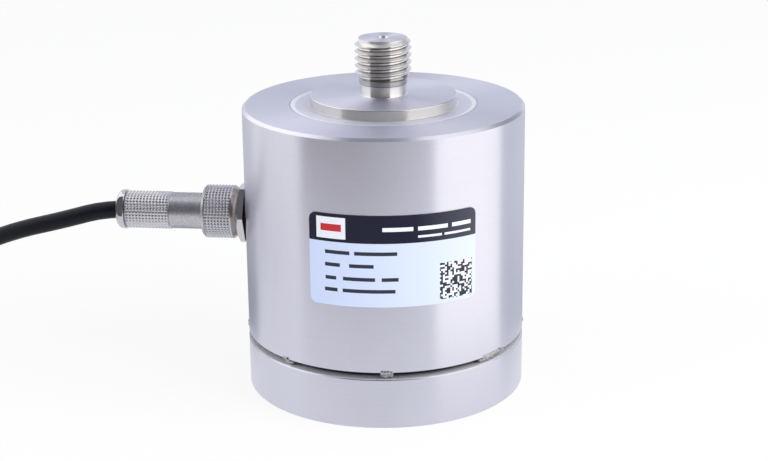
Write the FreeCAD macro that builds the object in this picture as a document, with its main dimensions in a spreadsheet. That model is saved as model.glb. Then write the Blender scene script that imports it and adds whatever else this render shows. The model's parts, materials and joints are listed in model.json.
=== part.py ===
import FreeCAD
import Part
import Sketcher

import math
import operator
import os
from types import SimpleNamespace

# Column load cell with a top stud and a side connector.
# Frame: millimetres, +Z up the load axis, origin at the centre of the base's underside,
# the connector along -X. A side angle is measured round +Z from -Y towards +X.

# Driving dimensions
SIZES = {
    # turned base and strain column
    "body_diameter": 100.0,
    "base_height": 18.05,
    "base_edge_chamfer": 0.4,
    "base_foot_chamfer": 0.5,
    "slit_height": 2.45,
    "spigot_overlap": 5.5,
    "spigot_step": 2.0,
    "column_diameter": 36.0,
    "column_fillet": 6.0,
    "head_diameter": 52.0,
    "head_thickness": 18.5,
    "boss_rise": 3.5,
    "boss_edge_chamfer": 0.4,
    # stud and threaded base hole
    "stud_diameter": 20.0,
    "stud_height": 20.0,
    "stud_end_chamfer": 1.5,
    "undercut_depth": 1.8,
    "undercut_height": 8.0,
    "undercut_run_out": 2.5,
    "centre_drill_diameter": 4.25,
    "pilot_diameter": 1.4,
    "pilot_depth": 2.5,
    "base_hole_diameter": 17.5,
    "base_hole_depth": 20.0,
    "base_hole_chamfer": 0.75,
    # outer sleeve, diaphragm and welds
    "sleeve_height": 82.5,
    "sleeve_wall": 6.0,
    "top_wall": 6.0,
    "top_edge_chamfer": 1.0,
    "diaphragm_width": 7.0,
    "diaphragm_thickness": 1.6,
    "diaphragm_drop": 0.3,
    "diaphragm_bevel": 1.8,
    "diaphragm_ledge": 3.0,
    "bead_width": 4.6,
    "bead_depth": 3.2,
    "bead_set_back": 1.4,
    "bead_rise": 0.9,
    "bead_proud": 0.35,
    "bead_side_angle": 7.0,
    # gauges, board and wires inside
    "gauge_width": 9.0,
    "gauge_height": 12.0,
    "gauge_thickness": 0.12,
    "board_gap": 3.0,
    "board_width": 12.0,
    "board_angle": 140.0,
    "board_thickness": 1.6,
    "pad_thickness": 1.0,
    "spool_diameter": 5.0,
    "spool_core_diameter": 3.2,
    "spool_height": 4.0,
    "spool_flange": 0.7,
    "spool_spacing_angle": 14.0,
    "spool_first_angle": 30.0,
    "wire_diameter": 1.2,
    "wire_bend": 3.0,
    "wire_row_spacing": 3.0,
    "wire_inset": 3.5,
    # socket in the sleeve's wall
    "connector_height": 61.3,
    "socket_bore": 11.0,
    "shank_wall": 1.5,
    "shank_proud": 1.5,
    "oring_section": 1.5,
    "hex_land": 1.1,
    "hex_thickness": 2.5,
    "hex_stand_off": 0.05,
    "barrel_wall": 1.4,
    "barrel_length": 8.0,
    "barrel_lead_in": 0.55,
    "insert_flange": 1.1,
    "insert_flange_thickness": 1.5,
    "insert_setback": 1.5,
    "insert_depth": 10.0,
    "pin_circle": 4.8,
    "pin_diameter": 1.5,
    "pin_tail": 2.5,
    "pin_reach": 4.5,
    # plug, back shell and cable clamp
    "gasket_thickness": 1.0,
    "flange_thickness": 1.6,
    "flange_gap": 0.3,
    "nose_gap": 0.2,
    "plug_wall": 1.1,
    "plug_sleeve_wall": 1.2,
    "plug_sleeve_length": 12.2,
    "plug_insert_length": 10.2,
    "contact_wall": 0.35,
    "contact_bore_depth": 5.0,
    "contact_tail": 2.6,
    "tail_step": 0.8,
    "tail_wall": 1.0,
    "tail_length": 5.6,
    "ring_gap": 0.3,
    "ring_wall": 1.6,
    "ring_lip": 2.55,
    "ring_edge_chamfer": 0.9,
    "ring_front_step": 1.3,
    "ring_front_taper": 1.7,
    "ring_lead_in": 0.15,
    "back_shell_wall": 0.95,
    "back_shell_length": 16.8,
    "back_shell_chamfer": 0.35,
    "washer_thickness": 1.0,
    "grommet_length": 4.5,
    "nut_collar_lip": 0.35,
    "nut_collar_length": 3.3,
    "nut_dome": 2.3,
    "nut_mouth_chamfer": 0.6,
    "nut_flat_depth": 1.0,
    "nut_flat_length": 3.0,
    # clearances
    "fit_clearance": 0.1,
    "pin_clearance": 0.05,
    "cable_clearance": 0.4,
    # cable, coil and lead end
    "cable_diameter": 6.4,
    "coil_turn_diameter": 76.0,
    "coil_turn_gap": 0.1,
    "tie_thickness": 0.8,
    "tie_width": 8.0,
    "tie_gap": 0.1,
    "lead_sleeve_length": 16.0,
    "lead_sleeve_wall": 0.5,
    "lead_sleeve_end_diameter": 5.2,
    "core_diameter": 1.3,
    # label
    "label_width": 59.3,
    "label_height": 32.2,
    "label_thickness": 0.15,
    "label_adhesive": 0.1,
    "label_corner": 2.5,
    "label_middle_height": 60.6,
    "label_side_angle": 10.4,
}

BEAD_COUNT = 8
PIN_COUNT = 4
GAUGE_COUNT = 4
SPOOL_COUNT = 3
COIL_COLUMNS = 3
COIL_LAYERS = 4

# Tool angles, as the run over the rise of the cut's side
DRILL_POINT = math.tan(math.radians(59.0))
CENTRE_DRILL = math.tan(math.radians(30.0))
HEX_CHAMFER = math.tan(math.radians(30.0))

# Turn of the hexagon and of the wrench flats about the connector's axis, in degrees
HEX_TURN = -87.0
FLAT_TURN = -65.0

DEGREES_PER_DIAMETER = 360.0 / math.pi
HALF_SQUARE = math.sqrt(0.5)
HEX_SIDES = 6
# Share of the shorter run that an arc of a cord takes up
SHARE_OF_RUN = 0.45
# How far a volume or a length may be from what it should be, as a share
TOLERANCE = 0.01
# The least volume, in cubic millimetres, that a cut takes away
LEAST_CUT = 1e-6

# Cable: where the coil lies, where the cable meets and leaves it, and the points between
COIL_CENTRE = (-255.0, -15.0)
COIL_ENTRY_ANGLE = 72.0
COIL_EXIT_ANGLE = -60.0
COIL_STUB = 26.0
TIE_ANGLES = (190.0, 10.0)
CABLE_STRAIGHT = 1.6
CABLE_ROUTE = [
    (-119.5, 0.2, 57.7),
    (-138.0, 1.1, 51.6),
    (-156.0, 3.2, 44.0),
    (-173.5, 6.6, 35.6),
    (-190.0, 10.9, 28.0),
]
LAST_RUN = 13.0

# Lead cores: name, then how far each stands aside and up at the sleeve and at its tip
CORES = {
    "core_red": ((-1.4, 0.6), (-9.0, -3.2)),
    "core_black": ((-0.8, -1.1), (-4.0, -3.2)),
    "core_green": ((0.8, -1.1), (3.0, -3.2)),
    "core_white": ((1.4, 0.6), (9.5, -3.2)),
    "core_drain": ((0.0, 1.4), (0.4, -1.4)),
}
CORE_STRAIGHT = 9.0
CORE_LENGTH = 27.0

WIRES = {"red": (1, 1), "black": (-1, 1), "green": (1, -1), "white": (-1, -1)}


# Sizes that know both their value and their sheet expression
OPERATIONS = {"+": operator.add, "-": operator.sub, "*": operator.mul, "/": operator.truediv}


class Size:
    """A length or an angle: its value now, and the sheet expression that works it out."""

    def __init__(self, text, value):
        self.text = text
        self.value = value

    def __add__(self, other):
        return combine(self, "+", other)

    def __sub__(self, other):
        return combine(self, "-", other)

    def __mul__(self, other):
        return combine(self, "*", other)

    def __rmul__(self, other):
        return combine(other, "*", self)

    def __truediv__(self, other):
        return combine(self, "/", other)


def plain(thing):
    """A number as a Size, and a Size as it is."""
    if isinstance(thing, Size):
        return thing
    return Size(repr(float(thing)), float(thing))


def combine(left, sign, right):
    first = plain(left)
    second = plain(right)
    value = OPERATIONS[sign](first.value, second.value)
    return Size(f"({first.text} {sign} {second.text})", value)


def make_sheet(doc):
    """The spreadsheet of driving dimensions, and the sizes that read it."""
    sheet = doc.addObject("Spreadsheet::Sheet", "sizes")
    for row, (name, value) in enumerate(SIZES.items(), start=1):
        sheet.set(f"A{row}", name)
        sheet.set(f"B{row}", str(value))
        sheet.setAlias(f"B{row}", name)
    doc.recompute()
    return SimpleNamespace(
        **{name: Size(f"sizes.{name}", float(sheet.get(name))) for name in SIZES}
    )


doc = FreeCAD.newDocument("column_load_cell")
size = make_sheet(doc)
pieces = []
cuts = []

# Radii and heights that several pieces share
body_radius = size.body_diameter / 2
column_radius = size.column_diameter / 2
head_radius = size.head_diameter / 2
stud_radius = size.stud_diameter / 2
undercut_radius = stud_radius - size.undercut_depth
rim_height = size.base_height + size.slit_height
spigot_top = rim_height + size.spigot_overlap
sleeve_top = rim_height + size.sleeve_height
sleeve_bore_radius = body_radius - size.sleeve_wall
sleeve_socket_radius = sleeve_bore_radius + size.spigot_step
spigot_radius = sleeve_socket_radius - size.fit_clearance
boss_top = sleeve_top + size.boss_rise
head_bottom = boss_top - size.head_thickness
stud_top = boss_top + size.stud_height
diaphragm_radius = head_radius + size.diaphragm_width
diaphragm_floor = sleeve_top - size.diaphragm_drop
diaphragm_seat = diaphragm_floor - size.diaphragm_thickness

# Connector: distances along its axis from the load axis, and radii
socket_bore_radius = size.socket_bore / 2
shank_radius = socket_bore_radius + size.shank_wall
oring_radius = shank_radius + size.fit_clearance + size.oring_section / 2
oring_seat_radius = oring_radius + size.oring_section / 2 + size.fit_clearance
hex_half_flats = oring_seat_radius + size.hex_land
barrel_bore_radius = socket_bore_radius + size.insert_flange
barrel_radius = barrel_bore_radius + size.barrel_wall
ring_bore_radius = barrel_radius + size.fit_clearance
ring_radius = ring_bore_radius + size.ring_wall
nose_radius = barrel_bore_radius - size.fit_clearance
plug_bore_radius = nose_radius - size.plug_wall
plug_sleeve_radius = plug_bore_radius + size.plug_sleeve_wall
tail_radius = plug_sleeve_radius - size.tail_step
tail_bore_radius = tail_radius - size.tail_wall
back_shell_bore_radius = tail_radius + size.fit_clearance
back_shell_radius = back_shell_bore_radius + size.back_shell_wall
nut_collar_radius = back_shell_radius + size.nut_collar_lip
cable_radius = size.cable_diameter / 2

shank_start = sleeve_bore_radius - size.shank_proud
hex_start = body_radius + size.hex_stand_off
hex_end = hex_start + size.hex_thickness
insert_step = hex_end + size.insert_setback
insert_front = insert_step + size.insert_flange_thickness
nose_start = insert_front + size.nose_gap
barrel_end = hex_end + size.barrel_length
flange_start = barrel_end + size.gasket_thickness
flange_end = flange_start + size.flange_thickness
ring_start = hex_end + size.ring_gap
ring_end = flange_end + size.ring_lip
back_shell_start = ring_end + size.plug_sleeve_length
tail_end = back_shell_start + size.tail_length
back_shell_end = back_shell_start + size.back_shell_length
washer_end = tail_end + size.washer_thickness
grommet_end = washer_end + size.grommet_length
nut_end = back_shell_end + size.nut_collar_length
insert_back = insert_step - size.insert_depth
pin_start = insert_back - size.pin_tail
pin_end = insert_front + size.pin_reach
plug_insert_end = nose_start + size.plug_insert_length
contact_end = plug_insert_end + size.contact_tail
jacket_start = washer_end

# Coil: turns side by side and in layers, lifted by the ties under it
turn_pitch = size.cable_diameter + size.coil_turn_gap
coil_inner_radius = size.coil_turn_diameter / 2 - turn_pitch * (COIL_COLUMNS / 2)
coil_outer_radius = size.coil_turn_diameter / 2 + turn_pitch * (COIL_COLUMNS / 2)
outer_turn_radius = size.coil_turn_diameter / 2 + turn_pitch * ((COIL_COLUMNS - 1) / 2)
coil_bottom = size.tie_thickness
coil_top = coil_bottom + turn_pitch * COIL_LAYERS
top_turn_height = coil_top - turn_pitch / 2
low_turn_height = coil_bottom + turn_pitch / 2


# Sketch and feature helpers
def bind(thing, path, wanted):
    """Ties a property of an object to the sheet."""
    thing.setExpression(path, wanted.text)


def new_body(label):
    body = doc.addObject("PartDesign::Body", label)
    body.Label = label
    pieces.append(body)
    return body


def new_sketch(body, name, plane, lift=None):
    """A sketch on one of the body's origin planes, lifted along the plane's normal."""
    sketch = body.newObject("Sketcher::SketchObject", name)
    support = next(part for part in body.Origin.OriginFeatures if part.Role == plane)
    sketch.AttachmentSupport = [(support, "")]
    sketch.MapMode = "FlatFace"
    if lift is not None:
        sketch.AttachmentOffset = FreeCAD.Placement(
            FreeCAD.Vector(0, 0, lift.value), FreeCAD.Rotation()
        )
        bind(sketch, "AttachmentOffset.Base.z", lift)
    return sketch


def constrain(sketch, kind, wanted, *where):
    """A dimension of the sketch, bound to the sheet."""
    number = sketch.addConstraint(Sketcher.Constraint(kind, *where, wanted.value))
    bind(sketch, f"Constraints[{number}]", wanted)


def fix_point(sketch, edge, end, x, y):
    constrain(sketch, "DistanceX", plain(x), -1, 1, edge, end)
    constrain(sketch, "DistanceY", plain(y), -1, 1, edge, end)


def arc_between(start, finish, radius, turn):
    """The arc from start to finish that turns left (turn 1) or right (turn -1)."""
    chord = finish - start
    across = FreeCAD.Vector(-chord.y, chord.x, 0) * (turn / chord.Length)
    rise = math.sqrt(max(radius**2 - (chord.Length / 2) ** 2, 0.0))
    centre = (start + finish) * 0.5 + across * rise
    angles = [math.atan2(p.y - centre.y, p.x - centre.x) for p in (start, finish)]
    if turn < 0:
        angles.reverse()
    circle = Part.Circle(centre, FreeCAD.Vector(0, 0, 1), radius)
    return Part.ArcOfCircle(circle, *angles)


def add_loop(sketch, corners):
    """A closed loop: a corner is (x, y), or (x, y, radius, turn) where an arc arrives."""
    places = [FreeCAD.Vector(plain(c[0]).value, plain(c[1]).value, 0) for c in corners]
    ends = []
    for number, start in enumerate(places):
        goal = corners[(number + 1) % len(corners)]
        finish = places[(number + 1) % len(places)]
        if len(goal) == 2:
            edge = sketch.addGeometry(Part.LineSegment(start, finish))
            ends.append((edge, 1, 2))
        else:
            radius, turn = goal[2], goal[3]
            edge = sketch.addGeometry(arc_between(start, finish, radius.value, turn))
            ends.append((edge, 1, 2) if turn > 0 else (edge, 2, 1))
    for number, (edge, _, last) in enumerate(ends):
        after, after_first, _ = ends[(number + 1) % len(ends)]
        sketch.addConstraint(Sketcher.Constraint("Coincident", edge, last, after, after_first))
    for (edge, first, _), corner in zip(ends, corners):
        fix_point(sketch, edge, first, corner[0], corner[1])
    for number, (edge, _, _) in enumerate(ends):
        goal = corners[(number + 1) % len(corners)]
        if len(goal) == 4:
            constrain(sketch, "Radius", goal[2], edge)


def add_circle(sketch, x, y, diameter):
    centre = FreeCAD.Vector(plain(x).value, plain(y).value, 0)
    edge = sketch.addGeometry(Part.Circle(centre, FreeCAD.Vector(0, 0, 1), diameter.value / 2))
    fix_point(sketch, edge, 3, x, y)
    constrain(sketch, "Diameter", diameter, edge)


def rounded_box(left, right, low, high, radius):
    """A rectangle whose corners are quarter circles, as a loop."""
    return [
        (left + radius, low, radius, 1),
        (right - radius, low),
        (right, low + radius, radius, 1),
        (right, high - radius),
        (right - radius, high, radius, 1),
        (left + radius, high),
        (left, high - radius, radius, 1),
        (left, low + radius),
    ]


def revolve(body, name, loops, angle=None):
    """Turns outlines in the body's XZ plane about its Z axis, all round or by an angle."""
    sketch = new_sketch(body, name + "_outline", "XZ_Plane")
    for loop in loops:
        add_loop(sketch, loop)
    turn = body.newObject("PartDesign::Revolution", name)
    turn.Profile = sketch
    turn.ReferenceAxis = (sketch, ["V_Axis"])
    turn.Angle = 360.0
    if angle is not None:
        turn.Midplane = True
        bind(turn, "Angle", angle)
    return turn


def turned(label, corners, angle=None):
    """A piece turned from one outline."""
    body = new_body(label)
    revolve(body, label + "_turning", [corners], angle)
    return body


def pad(body, name, sketch, length):
    feature = body.newObject("PartDesign::Pad", name)
    feature.Profile = sketch
    bind(feature, "Length", length)


def pocket(body, name, sketch, length, forwards=False):
    """Cuts back from the sketch, or forwards along its normal."""
    feature = body.newObject("PartDesign::Pocket", name)
    feature.Profile = sketch
    feature.Reversed = forwards
    bind(feature, "Length", length)
    cuts.append(feature)


def around_load_axis(piece, side_angle):
    """Turns a piece so that its XZ plane faces a side angle."""
    piece.Placement = FreeCAD.Placement(
        FreeCAD.Vector(), FreeCAD.Rotation(FreeCAD.Vector(0, 0, 1), side_angle.value - 90.0)
    )
    bind(piece, "Placement.Rotation.Angle", side_angle - 90.0)


def along_connector(piece, turn=0.0):
    """Lays a piece's Z axis along the connector, outwards, and its X axis up."""
    lay = FreeCAD.Rotation(FreeCAD.Vector(0, 1, 0), -90)
    spin = FreeCAD.Rotation(FreeCAD.Vector(0, 0, 1), turn)
    piece.Placement = FreeCAD.Placement(FreeCAD.Vector(), lay.multiply(spin))
    bind(piece, "Placement.Base.z", size.connector_height)


def pin_places():
    """Where the pins stand on their circle, as sizes up and across."""
    reach = size.pin_circle / 2
    for number in range(PIN_COUNT):
        angle = math.pi / PIN_COUNT + number * 2 * math.pi / PIN_COUNT
        yield reach * math.cos(angle), reach * math.sin(angle)


def pin_sketch(body, name, start, *diameters):
    """Circles at each pin, on a plane across the connector."""
    sketch = new_sketch(body, name, "XY_Plane", start)
    for up, across in pin_places():
        for diameter in diameters:
            add_circle(sketch, up, across, diameter)
    return sketch


# Load path and cover
def make_load_column():
    drill_tip = size.base_hole_depth + size.base_hole_diameter / 2 / DRILL_POINT
    hole_radius = size.base_hole_diameter / 2
    centre_radius = size.centre_drill_diameter / 2
    pilot_radius = size.pilot_diameter / 2
    pilot_top = stud_top - (centre_radius - pilot_radius) / CENTRE_DRILL
    fillet = size.column_fillet
    thread_start = boss_top + size.undercut_height
    turned("load_column", [
        (0, drill_tip),
        (hole_radius, size.base_hole_depth),
        (hole_radius, size.base_hole_chamfer),
        (hole_radius + size.base_hole_chamfer, 0),
        (body_radius - size.base_foot_chamfer, 0),
        (body_radius, size.base_foot_chamfer),
        (body_radius, size.base_height - size.base_edge_chamfer),
        (body_radius - size.base_edge_chamfer, size.base_height),
        (spigot_radius, size.base_height),
        (spigot_radius, spigot_top),
        (column_radius + fillet, spigot_top),
        (column_radius, spigot_top + fillet, fillet, -1),
        (column_radius, head_bottom - fillet),
        (column_radius + fillet, head_bottom, fillet, -1),
        (head_radius, head_bottom),
        (head_radius, boss_top - size.boss_edge_chamfer),
        (head_radius - size.boss_edge_chamfer, boss_top),
        (undercut_radius, boss_top),
        (undercut_radius, thread_start - size.undercut_run_out),
        (stud_radius, thread_start),
        (stud_radius, stud_top - size.stud_end_chamfer),
        (stud_radius - size.stud_end_chamfer, stud_top),
        (centre_radius, stud_top),
        (pilot_radius, pilot_top),
        (pilot_radius, pilot_top - size.pilot_depth),
        (0, pilot_top - size.pilot_depth),
    ])


def make_outer_sleeve():
    seat_radius = diaphragm_radius + size.fit_clearance
    mouth_radius = seat_radius - size.diaphragm_ledge
    body = turned("outer_sleeve", [
        (sleeve_socket_radius, rim_height),
        (body_radius, rim_height),
        (body_radius, sleeve_top - size.top_edge_chamfer),
        (body_radius - size.top_edge_chamfer, sleeve_top),
        (seat_radius, sleeve_top),
        (seat_radius, diaphragm_seat),
        (mouth_radius, diaphragm_seat),
        (mouth_radius, sleeve_top - size.top_wall),
        (sleeve_bore_radius, sleeve_top - size.top_wall),
        (sleeve_bore_radius, spigot_top),
        (sleeve_socket_radius, spigot_top),
    ])
    hole = new_sketch(body, "socket_hole", "YZ_Plane")
    add_circle(hole, 0, size.connector_height, (shank_radius + size.fit_clearance) * 2)
    pocket(body, "socket_hole_cut", hole, body_radius)
    seat_depth = plain(0) - (hex_start - size.oring_section)
    seat = new_sketch(body, "oring_seat", "YZ_Plane", seat_depth)
    add_circle(seat, 0, size.connector_height, oring_seat_radius * 2)
    pocket(body, "oring_seat_cut", seat, size.oring_section)


def make_top_diaphragm():
    inner_radius = head_radius + size.fit_clearance
    turned("top_diaphragm", [
        (inner_radius, diaphragm_seat),
        (diaphragm_radius, diaphragm_seat),
        (diaphragm_radius, sleeve_top),
        (diaphragm_radius - size.diaphragm_bevel, diaphragm_floor),
        (inner_radius, diaphragm_floor),
    ])


def make_tack_welds():
    """Beads on the base's ledge that close the slit and stand a little proud of the sleeve."""
    body = new_body("tack_welds")
    body.AllowCompound = True
    bead = revolve(body, "bead", [[
        (body_radius - size.bead_depth, size.base_height),
        (body_radius - size.bead_set_back, size.base_height),
        (body_radius + size.bead_proud, rim_height),
        (body_radius + size.bead_proud, rim_height + size.bead_rise / 2),
        (body_radius, rim_height + size.bead_rise),
        (body_radius, rim_height),
        (body_radius - size.bead_depth, rim_height),
    ]], size.bead_width / size.body_diameter * DEGREES_PER_DIAMETER)
    ring = body.newObject("PartDesign::PolarPattern", "bead_ring")
    ring.Originals = [bead]
    ring.Axis = (bead.Profile[0], ["V_Axis"])
    ring.Angle = 360.0
    ring.Occurrences = BEAD_COUNT
    body.Tip = ring
    around_load_axis(body, size.bead_side_angle)


# Inside: gauges, board and wires
def make_strain_gauges():
    middle = (spigot_top + head_bottom) / 2
    for number in range(GAUGE_COUNT):
        piece = turned(f"strain_gauge_{number + 1}", [
            (column_radius, middle - size.gauge_height / 2),
            (column_radius + size.gauge_thickness, middle - size.gauge_height / 2),
            (column_radius + size.gauge_thickness, middle + size.gauge_height / 2),
            (column_radius, middle + size.gauge_height / 2),
        ], size.gauge_width / size.column_diameter * DEGREES_PER_DIAMETER)
        around_load_axis(piece, plain(number * 360.0 / GAUGE_COUNT))


board_outer_radius = sleeve_bore_radius - size.board_gap
board_inner_radius = board_outer_radius - size.board_width
board_bottom = spigot_top + size.pad_thickness
board_top = board_bottom + size.board_thickness
board_middle_radius = (board_outer_radius + board_inner_radius) / 2
wire_radius = board_inner_radius + size.wire_inset


def make_bridge_board():
    """A part ring on an insulating pad, round the connector's side of the column."""
    layers = {"bridge_pad": (spigot_top, board_bottom), "bridge_board": (board_bottom, board_top)}
    for label, (low, high) in layers.items():
        piece = turned(label, [
            (board_inner_radius, low),
            (board_outer_radius, low),
            (board_outer_radius, high),
            (board_inner_radius, high),
        ], size.board_angle)
        around_load_axis(piece, plain(-90.0))


def make_trim_resistors():
    spool_radius = size.spool_diameter / 2
    core_radius = size.spool_core_diameter / 2
    for number in range(SPOOL_COUNT):
        piece = turned(f"trim_resistor_{number + 1}", [
            (0, 0),
            (spool_radius, 0),
            (spool_radius, size.spool_flange),
            (core_radius, size.spool_flange),
            (core_radius, size.spool_height - size.spool_flange),
            (spool_radius, size.spool_height - size.spool_flange),
            (spool_radius, size.spool_height),
            (0, size.spool_height),
        ])
        side_angle = size.spool_first_angle + size.spool_spacing_angle * number
        turn = math.radians(side_angle.value)
        bind(piece, "Placement.Base.x", board_middle_radius * -math.cos(turn))
        bind(piece, "Placement.Base.y", board_middle_radius * math.sin(turn))
        bind(piece, "Placement.Base.z", board_top)


def make_signal_wires():
    """Wires that rise from the board and bend out to the pins' tails."""
    reach = size.pin_circle.value / 2 * HALF_SQUARE
    bend = size.wire_bend.value
    slant = bend * HALF_SQUARE
    for colour, (across, up) in WIRES.items():
        start_x = up * size.wire_row_spacing.value / 2 - wire_radius.value
        y = across * reach
        z = size.connector_height.value + up * reach
        foot = FreeCAD.Vector(start_x, y, board_top.value)
        bend_start = FreeCAD.Vector(start_x, y, z - bend)
        bend_middle = FreeCAD.Vector(start_x - bend + slant, y, z - bend + slant)
        bend_end = FreeCAD.Vector(start_x - bend, y, z)
        tail = FreeCAD.Vector(-pin_start.value, y, z)
        path = Part.Wire([
            Part.LineSegment(foot, bend_start).toShape(),
            Part.Arc(bend_start, bend_middle, bend_end).toShape(),
            Part.LineSegment(bend_end, tail).toShape(),
        ])
        add_tube(f"signal_wire_{colour}", path, size.wire_diameter.value)


# Connector
def make_socket_shell():
    """Shank, hexagon and threaded barrel in one piece."""
    lead_in = size.barrel_lead_in
    body = turned("socket_shell", [
        (socket_bore_radius, shank_start),
        (shank_radius, shank_start),
        (shank_radius, hex_start),
        (barrel_radius, hex_start),
        (barrel_radius, barrel_end - lead_in),
        (barrel_radius - lead_in, barrel_end),
        (barrel_bore_radius, barrel_end),
        (barrel_bore_radius, insert_step),
        (socket_bore_radius, insert_step),
    ])
    corner_radius = hex_half_flats / math.cos(math.pi / HEX_SIDES)
    corner_angles = [number * 2 * math.pi / HEX_SIDES for number in range(HEX_SIDES)]
    hexagon = new_sketch(body, "hexagon", "XY_Plane", hex_start)
    add_loop(hexagon, [
        (corner_radius * math.cos(angle), corner_radius * math.sin(angle))
        for angle in corner_angles
    ])
    add_circle(hexagon, 0, 0, shank_radius * 2)
    pad(body, "hexagon_pad", hexagon, size.hex_thickness)
    past_corner = corner_radius + size.hex_land
    edge = new_sketch(body, "hexagon_edge", "XZ_Plane")
    add_loop(edge, [
        (hex_half_flats, hex_end),
        (past_corner, hex_end - (past_corner - hex_half_flats) * HEX_CHAMFER),
        (past_corner, hex_end),
    ])
    groove = body.newObject("PartDesign::Groove", "hexagon_chamfer")
    groove.Profile = edge
    groove.ReferenceAxis = (edge, ["V_Axis"])
    groove.Angle = 360.0
    cuts.append(groove)
    along_connector(body, HEX_TURN)


def make_socket_oring():
    ring = doc.addObject("Part::Torus", "socket_oring")
    ring.Label = "socket_oring"
    bind(ring, "Radius1", oring_radius)
    bind(ring, "Radius2", size.oring_section / 2)
    along_connector(ring)
    bind(ring, "Placement.Base.x", plain(0) - (hex_start - size.oring_section / 2))
    pieces.append(ring)


def make_socket_insert():
    back_radius = socket_bore_radius - size.fit_clearance
    flange_radius = barrel_bore_radius - size.fit_clearance
    body = turned("socket_insert", [
        (0, insert_back),
        (back_radius, insert_back),
        (back_radius, insert_step),
        (flange_radius, insert_step),
        (flange_radius, insert_front),
        (0, insert_front),
    ])
    holes = pin_sketch(body, "pin_holes", insert_front, size.pin_diameter + size.pin_clearance * 2)
    pocket(body, "pin_hole_cut", holes, insert_front - insert_back)
    along_connector(body)


def make_socket_pins():
    body = new_body("socket_pins")
    body.AllowCompound = True
    sections = pin_sketch(body, "pin_sections", pin_start, size.pin_diameter)
    pad(body, "pin_lengths", sections, pin_end - pin_start)
    along_connector(body)


def make_plug_body():
    """Nose, flange, plain sleeve and threaded tail in one piece."""
    along_connector(turned("plug_body", [
        (plug_bore_radius, nose_start),
        (nose_radius, nose_start),
        (nose_radius, flange_start),
        (ring_bore_radius - size.flange_gap, flange_start),
        (ring_bore_radius - size.flange_gap, flange_end),
        (plug_sleeve_radius, flange_end),
        (plug_sleeve_radius, back_shell_start),
        (tail_radius, back_shell_start),
        (tail_radius, tail_end),
        (tail_bore_radius, tail_end),
        (tail_bore_radius, plug_insert_end),
        (plug_bore_radius, plug_insert_end),
    ]))


contact_bore = size.pin_diameter + size.pin_clearance * 2
contact_diameter = contact_bore + size.contact_wall * 2


def make_plug_insert():
    insert_radius = plug_bore_radius - size.fit_clearance
    body = turned("plug_insert", [
        (0, nose_start),
        (insert_radius, nose_start),
        (insert_radius, plug_insert_end),
        (0, plug_insert_end),
    ])
    hole = contact_diameter + size.pin_clearance * 2
    holes = pin_sketch(body, "contact_holes", plug_insert_end, hole)
    pocket(body, "contact_hole_cut", holes, size.plug_insert_length)
    along_connector(body)


def make_plug_contacts():
    """Contacts that are hollow in front, where the pins enter, and solid behind."""
    body = new_body("plug_contacts")
    body.AllowCompound = True
    sections = pin_sketch(body, "contact_sections", nose_start, contact_diameter)
    pad(body, "contact_lengths", sections, contact_end - nose_start)
    bores = pin_sketch(body, "contact_bores", nose_start, contact_bore)
    pocket(body, "contact_bore_cut", bores, size.contact_bore_depth, forwards=True)
    along_connector(body)


def make_plug_cores():
    body = new_body("plug_cores")
    body.AllowCompound = True
    sections = pin_sketch(body, "core_sections", contact_end, size.core_diameter)
    pad(body, "core_lengths", sections, jacket_start - contact_end)
    along_connector(body)


def make_plug_gasket():
    along_connector(turned("plug_gasket", [
        (nose_radius + size.fit_clearance, barrel_end),
        (ring_bore_radius - size.flange_gap, barrel_end),
        (ring_bore_radius - size.flange_gap, flange_start),
        (nose_radius + size.fit_clearance, flange_start),
    ]))


def make_coupling_ring():
    chamfer = size.ring_edge_chamfer
    lead_in = size.ring_lead_in
    along_connector(turned("coupling_ring", [
        (ring_bore_radius + lead_in, ring_start),
        (ring_radius - size.ring_front_step, ring_start),
        (ring_radius, ring_start + size.ring_front_taper),
        (ring_radius, ring_end - chamfer),
        (ring_radius - chamfer, ring_end),
        (plug_sleeve_radius + size.fit_clearance, ring_end),
        (plug_sleeve_radius + size.fit_clearance, flange_end),
        (ring_bore_radius, flange_end),
        (ring_bore_radius, ring_start + lead_in),
    ]))


def make_back_shell():
    chamfer = size.back_shell_chamfer
    along_connector(turned("back_shell", [
        (back_shell_bore_radius, back_shell_start),
        (back_shell_radius - chamfer, back_shell_start),
        (back_shell_radius, back_shell_start + chamfer),
        (back_shell_radius, back_shell_end - chamfer),
        (back_shell_radius - chamfer, back_shell_end),
        (back_shell_bore_radius, back_shell_end),
    ]))


def make_clamp_ring(label, bore_radius, start, end):
    """A plain ring inside the back shell, round the cable."""
    along_connector(turned(label, [
        (bore_radius, start),
        (tail_radius, start),
        (tail_radius, end),
        (bore_radius, end),
    ]))


def make_cable_nut():
    """Threaded spigot and domed collar with two wrench flats."""
    bore_radius = cable_radius + size.cable_clearance
    dome = size.nut_dome
    body = turned("cable_nut", [
        (bore_radius, grommet_end),
        (tail_radius, grommet_end),
        (tail_radius, back_shell_end),
        (nut_collar_radius, back_shell_end),
        (nut_collar_radius, nut_end - dome),
        (nut_collar_radius - dome, nut_end, dome, 1),
        (bore_radius + size.nut_mouth_chamfer, nut_end),
        (bore_radius, nut_end - size.nut_mouth_chamfer),
    ])
    flat = nut_collar_radius - size.nut_flat_depth
    beyond = nut_collar_radius + size.nut_flat_depth
    flats = new_sketch(body, "flats", "XY_Plane", nut_end - size.nut_flat_length)
    for side in (1, -1):
        add_loop(flats, [
            (flat * side, beyond * -1),
            (beyond * side, beyond * -1),
            (beyond * side, beyond),
            (flat * side, beyond),
        ])
    pocket(body, "flats_cut", flats, size.nut_flat_length, forwards=True)
    along_connector(body, FLAT_TURN)


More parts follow.
